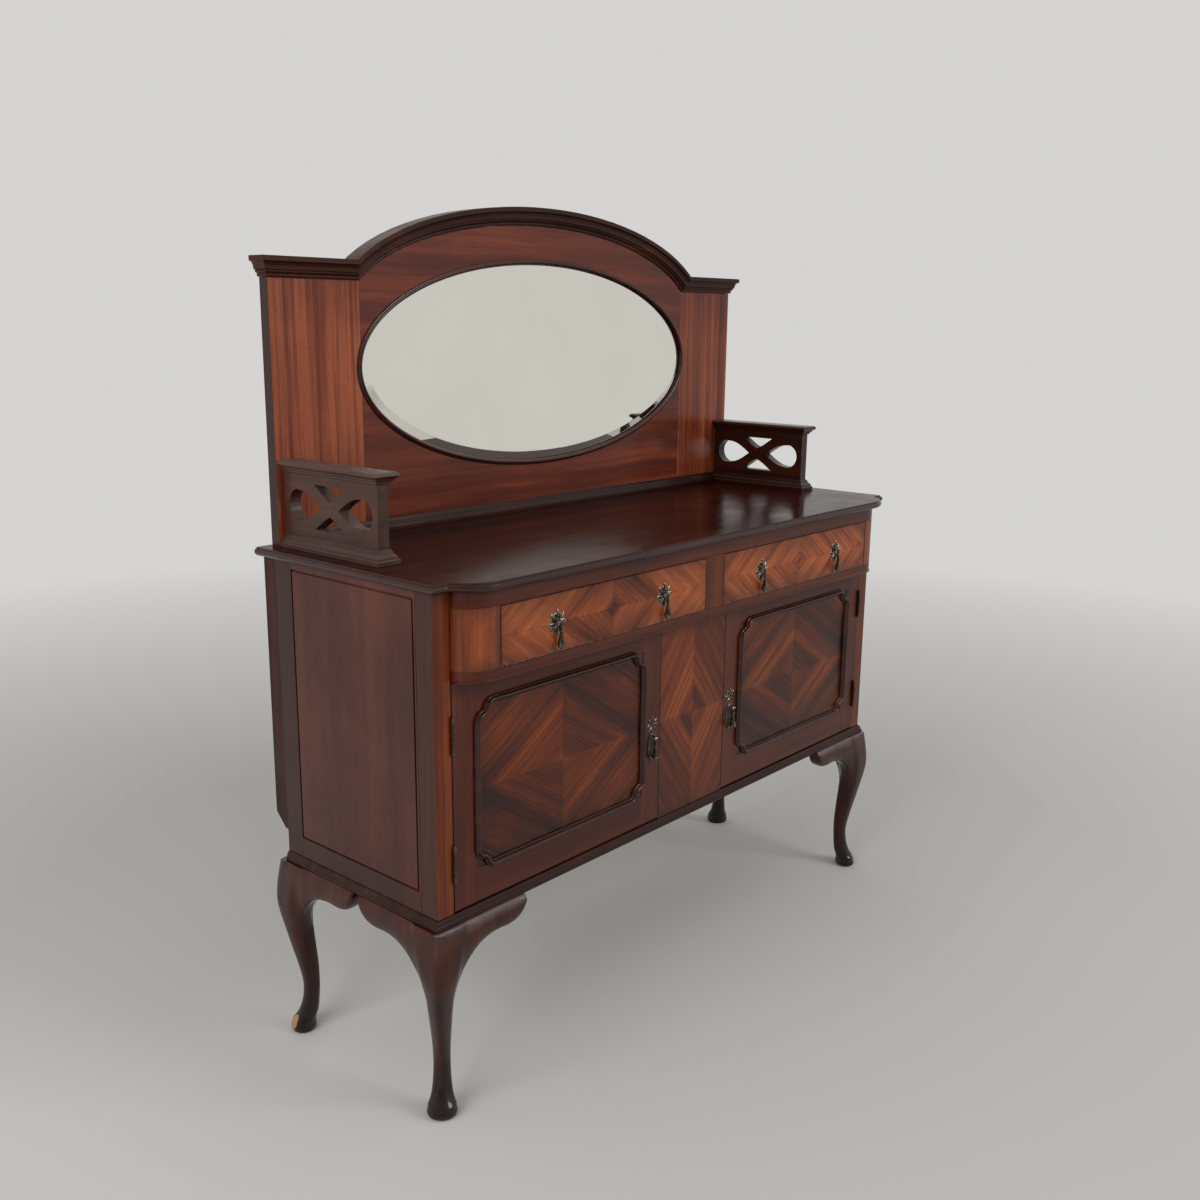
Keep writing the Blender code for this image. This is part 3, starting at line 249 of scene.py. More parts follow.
def mirror_veneer(seam):
    """Upright grain on the wings of the mirror board, and darker level grain between them."""
    def pattern(tree, x, y, z):
        size = calc(tree, "ABSOLUTE", x)
        wing = calc(tree, "GREATER_THAN", size, seam)
        offset = calc(tree, "ABSOLUTE", calc(tree, "SUBTRACT", size, seam))
        line = calc(tree, "LESS_THAN", offset, WING_SEAM_HALF)
        cloud = noise(tree, (x, y, z), (7.0, 7.0, 5.0), 27.0)
        height = times_plus(tree, cloud, 0.16, z)
        darker = remap(tree, height, WING_DARK_FROM, WING_DARK_TO, 0.0, -0.17)
        lift = times_plus(tree, calc(tree, "LESS_THAN", x, 0.0), 0.10, 0.14)
        streak = noise(tree, (x, y, z), (95.0, 95.0, 1.1), 63.0, 3.0, 0.62)
        darker = calc(tree, "ADD", darker, remap(tree, streak, 0.46, 0.64, 0.02, -0.15))
        tone = times_plus(tree, wing, calc(tree, "ADD", darker, lift), -0.04)
        tone = times_plus(tree, line, WING_SEAM_TONE, tone)
        return choose(tree, wing, x, z), choose(tree, wing, z, x), y, tone
    return pattern


# Age, marks of use, and painted light and shade. Each change takes the wood's colour and gives it back
# changed.
SIDE_STILE = 0.044
SIDE_RAIL = 0.037
JOINT_HALF = 0.0005
JOINT_SHADOW_REACH = 0.0032
JOINT_SHADOW_DEPTH = 0.22
CHIPPED = (0.34, 0.20, 0.11)
WORN_BARE = (0.30, 0.17, 0.09)
FLAKED = (0.40, 0.20, 0.080)
DUST = (0.115, 0.105, 0.092)
NEAR_BLACK = (0.0085, 0.0055, 0.0050)
RED_POLISH = (0.085, 0.0165, 0.0062)
PAINTED_HIGHLIGHT_GREY = (0.210, 0.180, 0.190)


def wear_and_painted_light(function):
    """Let a change of colour be given its own values before the tree, the place and the colour are known."""
    return lambda *values: lambda tree, place, colour: function(tree, place, colour, *values)


@wear_and_painted_light
def patina_and_painted_shade(tree, place, colour, name, reach=0.06, depth=0.55):
    """Darker towards the outline of a node: polish gone darker there, and on the rounded frieze ends painted
    shade.
    """
    low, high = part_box(name)
    x, y, z = place
    edge = calc(tree, "MINIMUM", calc(tree, "SUBTRACT", x, low.x), calc(tree, "SUBTRACT", high.x, x))
    end = calc(tree, "MINIMUM", calc(tree, "SUBTRACT", z, low.z), calc(tree, "SUBTRACT", high.z, z))
    cloud = noise(tree, place, 14.0, 2.0, 4.0, 0.6)
    inward = times_plus(tree, cloud, reach * 0.8, calc(tree, "MINIMUM", edge, end))
    return shade(tree, colour, remap(tree, inward, reach * 0.3, reach * 1.4, depth, 1.0))


@wear_and_painted_light
def painted_light_gradient(tree, place, colour, name, foot, head):
    """Painted light and shade: a tone that changes from the foot of a node to its head, lighter where more
    light falls.
    """
    low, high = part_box(name)
    return shade(tree, colour, remap(tree, place[2], low.z, high.z, foot, head))


def joint_shadow_and_grime(name):
    """Dark line along the joints round a node: painted shadow of the gaps, with old polish and dirt in them.
    """
    return patina_and_painted_shade(name, JOINT_SHADOW_REACH, JOINT_SHADOW_DEPTH)


@wear_and_painted_light
def nicks(tree, place, colour, share=0.30, seed=5.0):
    """Small pale chips in the polish, in clusters."""
    spots = remap(tree, noise(tree, place, 260.0, seed, 2.0, 0.5), 0.70, 0.72, 0.0, 1.0)
    group = remap(tree, noise(tree, place, 9.0, seed + 3.0), 0.60, 0.68, 0.0, share)
    return blend(tree, times(tree, spots, group), colour, CHIPPED)


@wear_and_painted_light
def worn_edge(tree, place, colour, bottom):
    """Pale wear in broken patches along a lower edge."""
    rise = calc(tree, "SUBTRACT", place[2], bottom)
    ragged = noise(tree, place, (130.0, 60.0, 60.0), 8.0)
    line = calc(tree, "LESS_THAN", times_plus(tree, ragged, -0.007, rise), -0.0022)
    return blend(tree, times(tree, line, 0.7), colour, WORN_BARE)


@wear_and_painted_light
def end_faces(tree, place, colour, stain):
    """Dark stain on the faces that look sideways."""
    sideways = calc(tree, "ABSOLUTE", facing(tree, "True Normal")[0])
    streak = remap(tree, noise(tree, place, (300.0, 300.0, 9.0), 2.0), 0.3, 0.7, 0.7, 1.3)
    return blend(tree, remap(tree, sideways, 0.70, 0.92, 0.0, 1.0), colour, shade(tree, stain, streak))


@wear_and_painted_light
def dark_frame(tree, place, colour, name):
    """Darker stile and rail round the panel of a framed side."""
    low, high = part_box(name)
    edge = high.y - SIDE_STILE
    stile = remap(tree, place[1], edge - JOINT_HALF, edge + JOINT_HALF, 1.0, 0.42)
    edge = low.z + SIDE_RAIL
    rail = remap(tree, place[2], edge - JOINT_HALF, edge + JOINT_HALF, 0.60, 1.0)
    return shade(tree, colour, calc(tree, "MINIMUM", stile, rail))


@wear_and_painted_light
def dusty(tree, place, colour, share):
    """Grey dust on what faces up."""
    up = remap(tree, facing(tree)[2], 0.55, 0.95, 0.0, share)
    patch = remap(tree, noise(tree, place, 60.0, 3.0, 5.0, 0.65), 0.3, 0.6, 0.35, 1.0)
    return blend(tree, times(tree, up, patch), colour, DUST)


@wear_and_painted_light
def bare_patch(tree, place, colour, centre, reach):
    """Polish and a flake of wood lost round one place, down to pale wood with a dark rim."""
    total = 0.0
    for value, middle, size in zip(place, centre, reach):
        part = calc(tree, "DIVIDE", calc(tree, "SUBTRACT", value, middle), size)
        total = times_plus(tree, part, part, total)
    ragged = noise(tree, place, (110.0, 110.0, 60.0), 4.0)
    distance = times_plus(tree, ragged, 0.5, calc(tree, "SQRT", total))
    streak = remap(tree, noise(tree, place, (700.0, 700.0, 40.0), 6.0, 2.0, 0.5), 0.3, 0.7, 0.75, 1.15)
    colour = shade(tree, colour, remap(tree, distance, 1.18, 1.5, 0.45, 1.0))
    return blend(tree, remap(tree, distance, 1.14, 1.22, 1.0, 0.0), colour, shade(tree, FLAKED, streak))


@wear_and_painted_light
def blackened_foot(tree, place, colour, low, high):
    """Stain that turns nearly black towards the floor."""
    wander = noise(tree, place, (40.0, 40.0, 12.0), 9.0)
    rise = times_plus(tree, wander, 0.05, place[2])
    return blend(tree, remap(tree, rise, low, high, 0.85, 0.0), colour, NEAR_BLACK)


@wear_and_painted_light
def rubbed_knee(tree, place, colour, side):
    """Redder polish where hands and cloths rubbed the outside of a knee."""
    cloud = noise(tree, place, (22.0, 22.0, 7.0), 12.0 + side)
    lift = times_plus(tree, place[2], 1.2, cloud)
    return blend(tree, remap(tree, lift, 0.72, 1.1, 0.0, 0.50), colour, RED_POLISH)


@wear_and_painted_light
def painted_bracket_highlight(tree, place, colour, front, low):
    """Painted highlight: lighter grey on the upper swell of a front bracket, standing for a bright reflection
    in the polish.
    """
    up = remap(tree, facing(tree)[2], 0.12, 0.60, 0.0, 0.6)
    ahead = remap(tree, place[1], front, front - 0.008, 0.0, 1.0)
    above = remap(tree, place[2], low, low + 0.03, 0.0, 1.0)
    patch = remap(tree, noise(tree, place, (30.0, 60.0, 60.0), 5.0, 4.0, 0.6), 0.3, 0.6, 0.6, 1.0)
    where = times(tree, times(tree, ahead, above), times(tree, up, patch))
    return blend(tree, where, colour, PAINTED_HIGHLIGHT_GREY)


# Wood
def wood(name, pattern, colours, stripe=55.0, seed=0.0, roughness=(0.24, 0.38), coat=0.15,
         coat_roughness=0.12, specular=0.28, spread=(0.33, 0.67), changes=(), rubbed=0.6, crisp=0.55):
    """Polished wood: bands, stripes, fine streaks and pores, then its age, any painted light and shade, and
    its rubbed edges.

    The stripe is the stripes' scale, crisp their sharpness and the spread the noise that the colours cover.
    """
    material, tree, shader = new_material(name, coat, coat_roughness, specular=specular)
    place = object_place(tree)
    across, along, depth, tone = pattern(tree, *place)
    drift = noise(tree, (across, along, depth), (9.0, 4.0, 9.0), seed + 11.3, 2.0, 0.5)
    across = times_plus(tree, drift, 0.016, across)
    fibres = (across, along, depth)
    bands = noise(tree, fibres, (stripe * 0.55, 1.2, stripe * 0.55), seed + 5.0, 2.0, 0.5)
    stripes = noise(tree, fibres, (stripe * 1.8, 2.4, stripe * 1.8), seed + 3.1, 3.0, crisp)
    fine = noise(tree, fibres, (620.0, 14.0, 620.0), seed + 7.7)
    pores = noise(tree, fibres, (1500.0, 75.0, 1500.0), seed + 1.9, 2.0, 0.6)
    mixed = times_plus(tree, bands, 0.44, times(tree, stripes, 0.36))
    mixed = times_plus(tree, fine, 0.20, mixed)
    colour = ramp(tree, calc(tree, "ADD", mixed, tone), colours, *spread)
    colour = shade(tree, colour, remap(tree, pores, 0.30, 0.44, 0.50, 1.0))
    cloud = noise(tree, place, 3.3, seed + 20.0, 4.0, 0.6)
    colour = shade(tree, colour, remap(tree, cloud, 0.32, 0.68, 0.76, 1.20))
    for change in changes:
        colour = change(tree, place, colour)
    soft = None
    if rubbed:
        colour, soft = rubbed_arris(tree, place, colour, rubbed)
    smear = noise(tree, place, 17.0, seed + 31.0, 5.0, 0.65)
    height = times_plus(tree, pores, 0.65, times(tree, fine, 0.35))
    rough = remap(tree, smear, 0.30, 0.70, *roughness)
    finish_shader(tree, shader, colour, rough, height, 0.10, 0.0004, soft)
    return material


DOOR = [(0.030, 0.0042, 0.0016), (0.076, 0.0112, 0.0028), (0.150, 0.0250, 0.0042), (0.260, 0.0550, 0.0090)]
CENTRE = [(0.042, 0.0064, 0.0016), (0.098, 0.0158, 0.0036), (0.182, 0.0340, 0.0068), (0.290, 0.0670, 0.0135)]
DRAWER = [(0.060, 0.0105, 0.0036), (0.205, 0.0405, 0.0118), (0.390, 0.0930, 0.0262), (0.560, 0.1570, 0.0490)]
ROUND = [(0.150, 0.0290, 0.0105), (0.300, 0.0700, 0.0250), (0.460, 0.1300, 0.0490)]
POST = [(0.050, 0.0075, 0.0016), (0.130, 0.0200, 0.0030), (0.260, 0.0500, 0.0068)]
FRAME = [(0.038, 0.0058, 0.0032), (0.075, 0.0115, 0.0048), (0.120, 0.0230, 0.0080)]
BOARD = [(0.056, 0.0090, 0.0050), (0.120, 0.0195, 0.0082), (0.215, 0.0420, 0.0145), (0.345, 0.0860, 0.0350)]
DEEP = [(0.010, 0.0028, 0.0020), (0.026, 0.0062, 0.0038), (0.052, 0.0125, 0.0068)]
SIDE = [(0.046, 0.0120, 0.0085), (0.078, 0.0200, 0.0130), (0.115, 0.0320, 0.0190)]
# Gallery colours greyed by a painted reflection of a pale wall.
GREYED_BY_PAINTED_SHEEN = [(0.034, 0.0150, 0.0110), (0.058, 0.0250, 0.0185), (0.090, 0.0400, 0.0300)]
LEG = [(0.010, 0.0019, 0.0011), (0.029, 0.0044, 0.0018), (0.082, 0.0130, 0.0038)]
CORNICE = [(0.017, 0.0042, 0.0024), (0.040, 0.0088, 0.0048), (0.074, 0.0175, 0.0090)]
MOULDING = [(0.016, 0.0036, 0.0024), (0.036, 0.0070, 0.0038), (0.085, 0.0185, 0.0085)]
TOP = [(0.013, 0.0025, 0.0017), (0.029, 0.0048, 0.0028), (0.055, 0.0095, 0.0046)]
BRASS = [(0.012, 0.009, 0.007), (0.085, 0.067, 0.055), (0.330, 0.285, 0.250), (0.720, 0.670, 0.620)]
IRON = [(0.016, 0.009, 0.006), (0.045, 0.028, 0.020), (0.140, 0.105, 0.085)]
SCRATCHED = (0.16, 0.095, 0.065)
DENTED = (0.20, 0.135, 0.095)
WATER_STAIN = (0.085, 0.042, 0.022)


def top_material():
    """Near-black polish, dull on the flat and bright on the moulded edge, with scratches and small dents."""
    material, tree, shader = new_material("top_polish", specular=0.06)
    place = object_place(tree)
    x, y, z = place
    bands = noise(tree, place, (2.0, 26.0, 1.0), 41.0, 3.0, 0.55)
    fine = noise(tree, place, (14.0, 520.0, 1.0), 44.0)
    mixed = times_plus(tree, bands, 0.7, times(tree, fine, 0.3))
    colour = ramp(tree, mixed, TOP, 0.32, 0.70)
    first = noise(tree, place, (26.0, 700.0, 1.0), 2.0, 2.0, 0.5)
    slanting = (times_plus(tree, y, 0.6, x), times_plus(tree, x, -0.3, y), z)
    second = noise(tree, slanting, (18.0, 620.0, 1.0), 6.0, 2.0, 0.5)
    scratch = calc(tree, "MAXIMUM", remap(tree, first, 0.72, 0.78, 0.0, 1.0),
                   remap(tree, second, 0.73, 0.79, 0.0, 1.0))
    colour = blend(tree, times(tree, scratch, 0.30), colour, SCRATCHED)
    dents = remap(tree, noise(tree, place, (150.0, 150.0, 1.0), 15.0, 2.0, 0.5), 0.74, 0.77, 0.0, 0.5)
    colour = blend(tree, dents, colour, DENTED)
    smear = noise(tree, place, (7.0, 13.0, 7.0), 8.0, 5.0, 0.65)
    rough = times_plus(tree, scratch, 0.25, remap(tree, smear, 0.32, 0.70, 0.12, 0.26))
    height = times_plus(tree, smear, 0.5, times(tree, fine, 0.5))
    colour, soft = rubbed_arris(tree, place, colour, 0.8)
    up = facing(tree, "True Normal")[2]
    plug(tree, shader.inputs["Specular IOR Level"], remap(tree, up, 0.5, 0.98, 0.50, 0.06))
    finish_shader(tree, shader, colour, rough, height, 0.05, 0.0004, soft)
    return material


def plain_wood(name, pattern, dark, light, seed):
    """Unpolished wood of the hidden and inner pieces."""
    material, tree, shader = new_material(name, specular=0.3)
    place = object_place(tree)
    fibres = pattern(tree, *place)[:3]
    stripes = noise(tree, fibres, (36.0, 1.6, 36.0), seed, 3.0, 0.5)
    fine = noise(tree, fibres, (420.0, 12.0, 420.0), seed + 4.0)
    pores = noise(tree, fibres, (1100.0, 55.0, 1100.0), seed + 8.0, 2.0, 0.6)
    mixed = times_plus(tree, stripes, 0.6, times(tree, fine, 0.4))
    colour = ramp(tree, mixed, [dark, light], 0.34, 0.66)
    stain = noise(tree, place, 5.0, seed + 2.0, 5.0, 0.65)
    colour = blend(tree, remap(tree, stain, 0.50, 0.72, 0.0, 0.40), colour, WATER_STAIN)
    finish_shader(tree, shader, colour, remap(tree, fine, 0.3, 0.7, 0.60, 0.78), pores, 0.25, 0.0005)
    return material


def old_metal(name, colours, roughness):
    """Old lacquered metal: dark in the hollows, rubbed lighter on what stands out."""
    material, tree, shader = new_material(name, metallic=1.0)
    place = object_place(tree)
    tarnish = noise(tree, place, 190.0, 1.0, 4.0, 0.6)
    worn = remap(tree, node(tree, "NewGeometry").outputs["Pointiness"], 0.44, 0.60, 0.0, 1.0)
    colour = ramp(tree, times_plus(tree, tarnish, 0.45, times(tree, worn, 0.60)), colours, 0.34, 0.82)
    finish_shader(tree, shader, colour, remap(tree, tarnish, 0.3, 0.7, *roughness), tarnish, 0.12, 0.0004)
    return material


def mirror_material():
    """Silvered glass with a faint haze."""
    material, tree, shader = new_material("silvered_glass", metallic=1.0)
    haze = noise(tree, object_place(tree), 5.0, 3.0, 3.0, 0.5)
    colour = ramp(tree, haze, [(0.84, 0.82, 0.75), (0.88, 0.86, 0.79)], 0.35, 0.65)
    finish_shader(tree, shader, colour, remap(tree, haze, 0.4, 0.7, 0.008, 0.016))
    return material


TOP_POLISH = top_material()
DARK_WOOD = wood("dark_mahogany_level", level, DEEP, coat=0.05, specular=0.20, changes=(nicks(),))
CORNICE_WOOD = wood("cornice_mahogany", level, CORNICE, seed=6.0, roughness=(0.32, 0.48), coat=0.05,
                    specular=0.18, changes=(nicks(0.5), dusty(0.5)))
MOULDING_WOOD = wood("moulding_mahogany", level, MOULDING, seed=8.0, roughness=(0.26, 0.38), coat=0.35,
                     coat_roughness=0.18, rubbed=0.0)
# Left gallery: a lighter, greyer copy of the gallery wood, as painted light and reflection, with real dust
# and chips.
GALLERY_WOOD_PAINTED_LIT = wood("gallery_mahogany", crosswise, GREYED_BY_PAINTED_SHEEN, seed=17.0, roughness=(0.34, 0.52), coat=0.1,
                    coat_roughness=0.3, changes=(nicks(0.4), dusty(0.5)))
POST_WOOD = wood("post_veneer", upright, POST, stripe=90.0, seed=23.0,
                 changes=(end_faces((0.046, 0.0130, 0.0088)),))
DIVIDER_WOOD = wood("divider_mahogany", upright, CENTRE, stripe=80.0, seed=29.0)
RAIL_WOOD = wood("rail_mahogany", level, FRAME, stripe=60.0, seed=33.0, changes=(nicks(),))
MIRROR_WOOD = wood("mirror_board_veneer", mirror_veneer(WING_SEAM), BOARD, stripe=42.0, seed=37.0,
                   spread=(0.29, 0.71), changes=(nicks(0.15, 9.0), end_faces((0.026, 0.0070, 0.0048))))
BATTEN_WOOD = wood("stained_batten", upright, DEEP, seed=9.0, roughness=(0.40, 0.60), coat=0.0)
PINE = plain_wood("old_softwood", level, (0.150, 0.072, 0.030), (0.340, 0.185, 0.080), 51.0)
OAK = plain_wood("drawer_lining", crosswise, (0.190, 0.110, 0.052), (0.360, 0.225, 0.110), 57.0)
CAST_BRASS = old_metal("antique_brass", BRASS, (0.20, 0.36))
HINGE_METAL = old_metal("hinge_metal", IRON, (0.40, 0.55))
GLASS = mirror_material()
DOOR_FIGURE_LEFT = 0.005
DOOR_FIGURE_DOWN = 0.008
DOOR_SLOPE = 0.64
DRAWER_SLOPE = 0.75
CENTRE_SLOPE = 1.45
CENTRE_HEIGHT = 0.5598


def dress(material, *names):
    """Give CAD nodes their finished material."""
    for name in names:
        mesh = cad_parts[name].data
        mesh.materials.clear()
        mesh.materials.append(material)


def pairs(*stems):
    """Names of left and right pieces."""
    return [stem + "_" + word for stem in stems for _, word in SIDES]


def dress_door(side, word):
    """Matched veneer and frame of one door."""
    panel = "door_panel_" + word
    surround = "door_frame_" + word
    low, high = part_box(panel)
    figure = matched((low.x + high.x) / 2 - DOOR_FIGURE_LEFT,
                     (low.z + high.z) / 2 - DOOR_FIGURE_DOWN, DOOR_SLOPE)
    # Panel and frame are painted lighter towards the head, as painted light, and the frame gets a dark joint
    # line of painted shadow and grime.
    dress(wood("door_veneer_" + word, figure, DOOR, stripe=46.0, seed=60.0 + 5.0 * side,
               spread=(0.39 - 0.01 * side, 0.625 - 0.01 * side), crisp=0.78,
               changes=(patina_and_painted_shade(panel), painted_light_gradient(panel, 0.80, 1.16), nicks(0.12))), panel)
    dress(wood("door_frame_wood_" + word, framed(low.x, high.x, side), FRAME, seed=70.0 + side,
               changes=(joint_shadow_and_grime(surround), painted_light_gradient(surround, 0.90, 1.14), nicks(0.2))), surround)


def dress_drawer(side, word):
    """Matched veneer of one drawer front."""
    name = "drawer_front_" + word
    low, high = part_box(name)
    figure = matched((low.x + high.x) / 2, (low.z + high.z) / 2, DRAWER_SLOPE, 0.010)
    # The right drawer is painted lighter than the left and both lighter towards the head, as painted light,
    # and each gets a dark joint line of painted shadow and grime.
    dress(wood("drawer_veneer_" + word, figure, DRAWER, stripe=50.0, seed=86.0 + 9.0 * side,
               spread=(0.37, 0.64), crisp=0.78,
               changes=(patina_and_painted_shade(name, 0.045, 0.50), painted_light_gradient(name, 1.06 + 0.10 * side, 1.16 + 0.12 * side),
                        joint_shadow_and_grime(name), nicks(0.2), worn_edge(low.z))), name)


def dress_centre():
    """Matched veneer of the fixed panel between the doors."""
    name = "centre_panel"
    # Painted lighter towards the head, as painted light, with a dark joint line of painted shadow and grime.
    dress(wood("centre_veneer", matched(0.0, CENTRE_HEIGHT, CENTRE_SLOPE, 0.030), CENTRE, stripe=58.0,
               seed=91.0, spread=(0.39, 0.625), crisp=0.78,
               changes=(patina_and_painted_shade(name, 0.02, 0.75), painted_light_gradient(name, 0.80, 1.18), joint_shadow_and_grime(name))), name)


def dress_nodes():
    """Materials of the CAD nodes that show."""
    dress(TOP_POLISH, "top_board")
    dress(POST_WOOD, *pairs("corner_post"))
    for name in pairs("side"):
        dress(wood(name + "_mahogany", upright, SIDE, stripe=24.0, seed=14.0, roughness=(0.30, 0.46),
                   coat_roughness=0.20, changes=(dark_frame(name),)), name)
    dress(DARK_WOOD, "base_board", "mirror_foot_moulding")
    dress(CORNICE_WOOD, "cornice_arch", *pairs("cornice"))
    dress(BATTEN_WOOD, *pairs("back_batten"))
    dress(RAIL_WOOD, "frieze_rail", "frieze_head_rail")
    dress(DIVIDER_WOOD, "drawer_divider")
    # On the rounded frieze ends the darker outline is painted shade where the face turns away from the light.
    for name in pairs("frieze_end"):
        dress(wood(name + "_veneer", upright, ROUND, stripe=80.0, seed=28.0, crisp=0.7,
                   changes=(patina_and_painted_shade(name, 0.026, 0.42),)), name)
    dress(PINE, "dust_board", "carcass_back", "mirror_backing", *pairs("drawer_guide"))
    dress(OAK, *pairs("drawer_box"))
    dress(MIRROR_WOOD, "mirror_board")
    dress(GALLERY_WOOD_PAINTED_LIT, "gallery_panel_left", "gallery_cap_left")
    # Right gallery: the same wood painted darker, as painted shade.
    dress(wood("painted_shade_gallery_wood", crosswise, DEEP, seed=19.0, changes=(nicks(0.4), dusty(0.4))),
          "gallery_panel_right", "gallery_cap_right")
    dress(HINGE_METAL, *pairs("hinge_lower", "hinge_upper"))
    for side, word in SIDES:
        dress_door(side, word)
        dress_drawer(side, word)
    dress_centre()


def add_mesh(name, bm):
    """Turn a bmesh into a mesh."""
    mesh = bpy.data.meshes.new(name)
    bm.to_mesh(mesh)
    bm.free()
    return mesh


def add_object(name, data):
    """Put a mesh, a lamp or a camera into the scene."""
    item = bpy.data.objects.new(name, data)
    bpy.context.scene.collection.objects.link(item)
    return item


# Finer pieces that stand for CAD nodes
def make(name, bm, material, body, replaced, smooth):
    """Turn a bmesh into a piece that rides on a body and stands for CAD nodes."""
    bmesh.ops.recalc_face_normals(bm, faces=bm.faces[:])
    mesh = add_mesh(name, bm)
    mesh.materials.append(material)
    mesh.shade_smooth()
    mesh.set_sharp_from_angle(angle=math.radians(smooth))
    piece = add_object(name, mesh)
    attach(piece, body)
    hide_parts(*replaced)


def skin(bm, rings, loop=False):
    """Skin rings of equal counts, and close the ends or join the last ring to the first."""
    rows = [[bm.verts.new(point) for point in ring] for ring in rings]
    count = len(rows[0])
    following = rows[1:] + rows[:1] if loop else rows[1:]
    for near, far in zip(rows, following):
        for index in range(count):
            after = (index + 1) % count
            bm.faces.new((near[index], near[after], far[after], far[index]))
    if not loop:
        bm.faces.new(rows[0])
        bm.faces.new(list(reversed(rows[-1])))


def between(a, b, c, d, t):
    """Value at t from b to c on a smooth curve through four values."""
    cubic = 3 * b - a - 3 * c + d
    return 0.5 * (2 * b + (c - a) * t + (2 * a - 5 * b + 4 * c - d) * t * t + cubic * t ** 3)


def curve_through(points, steps):
    """Smooth curve through tuples of numbers."""
    result = []
    last = len(points) - 1
    for index in range(last):
        near = (points[max(index - 1, 0)], points[index], points[index + 1], points[min(index + 2, last)])
        for step in range(steps):
            result.append(tuple(between(*values, step / steps) for values in zip(*near)))
    result.append(points[-1])
    return result


def arc(centre, radii, start, end, steps):
    """Points on an arc, angles in degrees."""
    angles = [math.radians(start + (end - start) * index / steps) for index in range(steps + 1)]
    return [(centre[0] + radii[0] * math.cos(angle), centre[1] + radii[1] * math.sin(angle))
            for angle in angles]


def circle(centre, radii, count):
    """Points all the way round an ellipse."""
    return arc(centre, radii, 0, 360 - 360 / count, count - 1)


UNIT_CIRCLE = ((0.0, 0.0), (1.0, 1.0))
MITRE_LIMIT = 0.5


def inset_loop(points, distance):
    """Offset an anticlockwise outline inwards with mitred corners."""
    result = []
    for index, point in enumerate(points):
        here = Vector(point)
        first = (here - Vector(points[index - 1])).normalized()
        second = (Vector(points[(index + 1) % len(points)]) - here).normalized()
        normal = Vector((-first.y, first.x))
        bisector = normal + Vector((-second.y, second.x))
        result.append(here + bisector * (distance / max(bisector.dot(normal), MITRE_LIMIT)))
    return result


def moulding(name, replaced, body, section, width, outline):
    """Moulding whose section, in shares of its width and height, follows the outline of its CAD node."""
    low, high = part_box(replaced)
    bm = bmesh.new()
    skin(bm, [[(x, high.y - out * (high.y - low.y), z) for x, z in outline(inward * width)]
              for inward, out in section], loop=True)
    make(name, bm, MOULDING_WOOD, body, [replaced], 50)


MOULDING_WIDTH = 0.013
MOULDING_SECTION = [(0.0, 0.0), (0.0, 0.30), (0.05, 0.44), (0.12, 0.50), (0.19, 0.44), (0.23, 0.50),
                    (0.29, 0.78), (0.37, 0.93), (0.48, 1.0), (0.59, 0.96), (0.69, 0.80), (0.77, 0.54),
                    (0.82, 0.30), (0.86, 0.24), (0.91, 0.34), (0.96, 0.30), (1.0, 0.18), (1.0, 0.0)]
CORNER_CUT = 0.042
CUSP_ANGLE = 80
CUSP_STEPS = 12


def door_mouldings():
    """Applied mouldings of the doors, with two arcs that meet in a cusp at each corner."""
    radius = CORNER_CUT / 2
    corner = arc((-radius, -CORNER_CUT), (radius, radius), 0, CUSP_ANGLE, CUSP_STEPS)
    corner += arc((-CORNER_CUT, -radius), (radius, radius), 90 - CUSP_ANGLE, 90, CUSP_STEPS)
    for _, word in SIDES:
        low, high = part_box("door_moulding_" + word)
        path = []
        for sign_x, sign_z in ((1, 1), (-1, 1), (-1, -1), (1, -1)):
            edge_x = high.x if sign_x > 0 else low.x
            edge_z = high.z if sign_z > 0 else low.z
            notch = [(edge_x + sign_x * u, edge_z + sign_z * v) for u, v in corner]
            path.extend(notch if sign_x * sign_z > 0 else reversed(notch))
        moulding("fine_moulding_" + word, "door_moulding_" + word, "door_" + word, MOULDING_SECTION,
                 MOULDING_WIDTH, lambda inward: inset_loop(path, inward))


BEAD_WIDTH = 0.011
BEAD_SECTION = [(0.0, 0.0), (0.0, 0.34), (0.10, 0.52), (0.20, 0.58), (0.26, 0.60), (0.32, 0.84), (0.46, 1.0),
                (0.62, 0.96), (0.78, 0.72), (0.92, 0.32), (1.0, 0.0)]
OVAL_POINTS = 160
BEVEL_WIDTH = 0.0200
BEVEL_DEPTH = 0.0027
BEVEL_EASE = 0.0004
BEVEL_START = 0.00004
RIM_EASE = 0.0006


def mirror_pieces():
    """Bevelled oval glass and the bead that holds it, with smooth outlines."""
    low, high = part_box("mirror_bead")
    centre_z = (low.z + high.z) / 2
    half_x = (high.x - low.x) / 2
    half_z = (high.z - low.z) / 2

    def oval(grow):
        points = []
        for u, v in circle(*UNIT_CIRCLE, OVAL_POINTS):
            normal = Vector((u / half_x, v / half_z)).normalized()
            points.append((half_x * u + normal.x * grow, centre_z + half_z * v + normal.y * grow))
        return points

    moulding("fine_mirror_bead", "mirror_bead", "carcass", BEAD_SECTION, BEAD_WIDTH,
             lambda inward: oval(-inward))
    low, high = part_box("mirror_glass")
    edge = high.x - half_x
    levels = [(-BEVEL_WIDTH - BEVEL_EASE, 0.0), (-BEVEL_WIDTH + BEVEL_EASE, BEVEL_START),
              (-RIM_EASE, BEVEL_DEPTH - BEVEL_EASE), (0.0, BEVEL_DEPTH), (0.0, high.y - low.y)]
    bm = bmesh.new()
    skin(bm, [[(x, low.y + depth, z) for x, z in oval(edge + grow)] for grow, depth in levels])
    make("bevelled_glass", bm, GLASS, "carcass", ["mirror_glass"], 1.2)


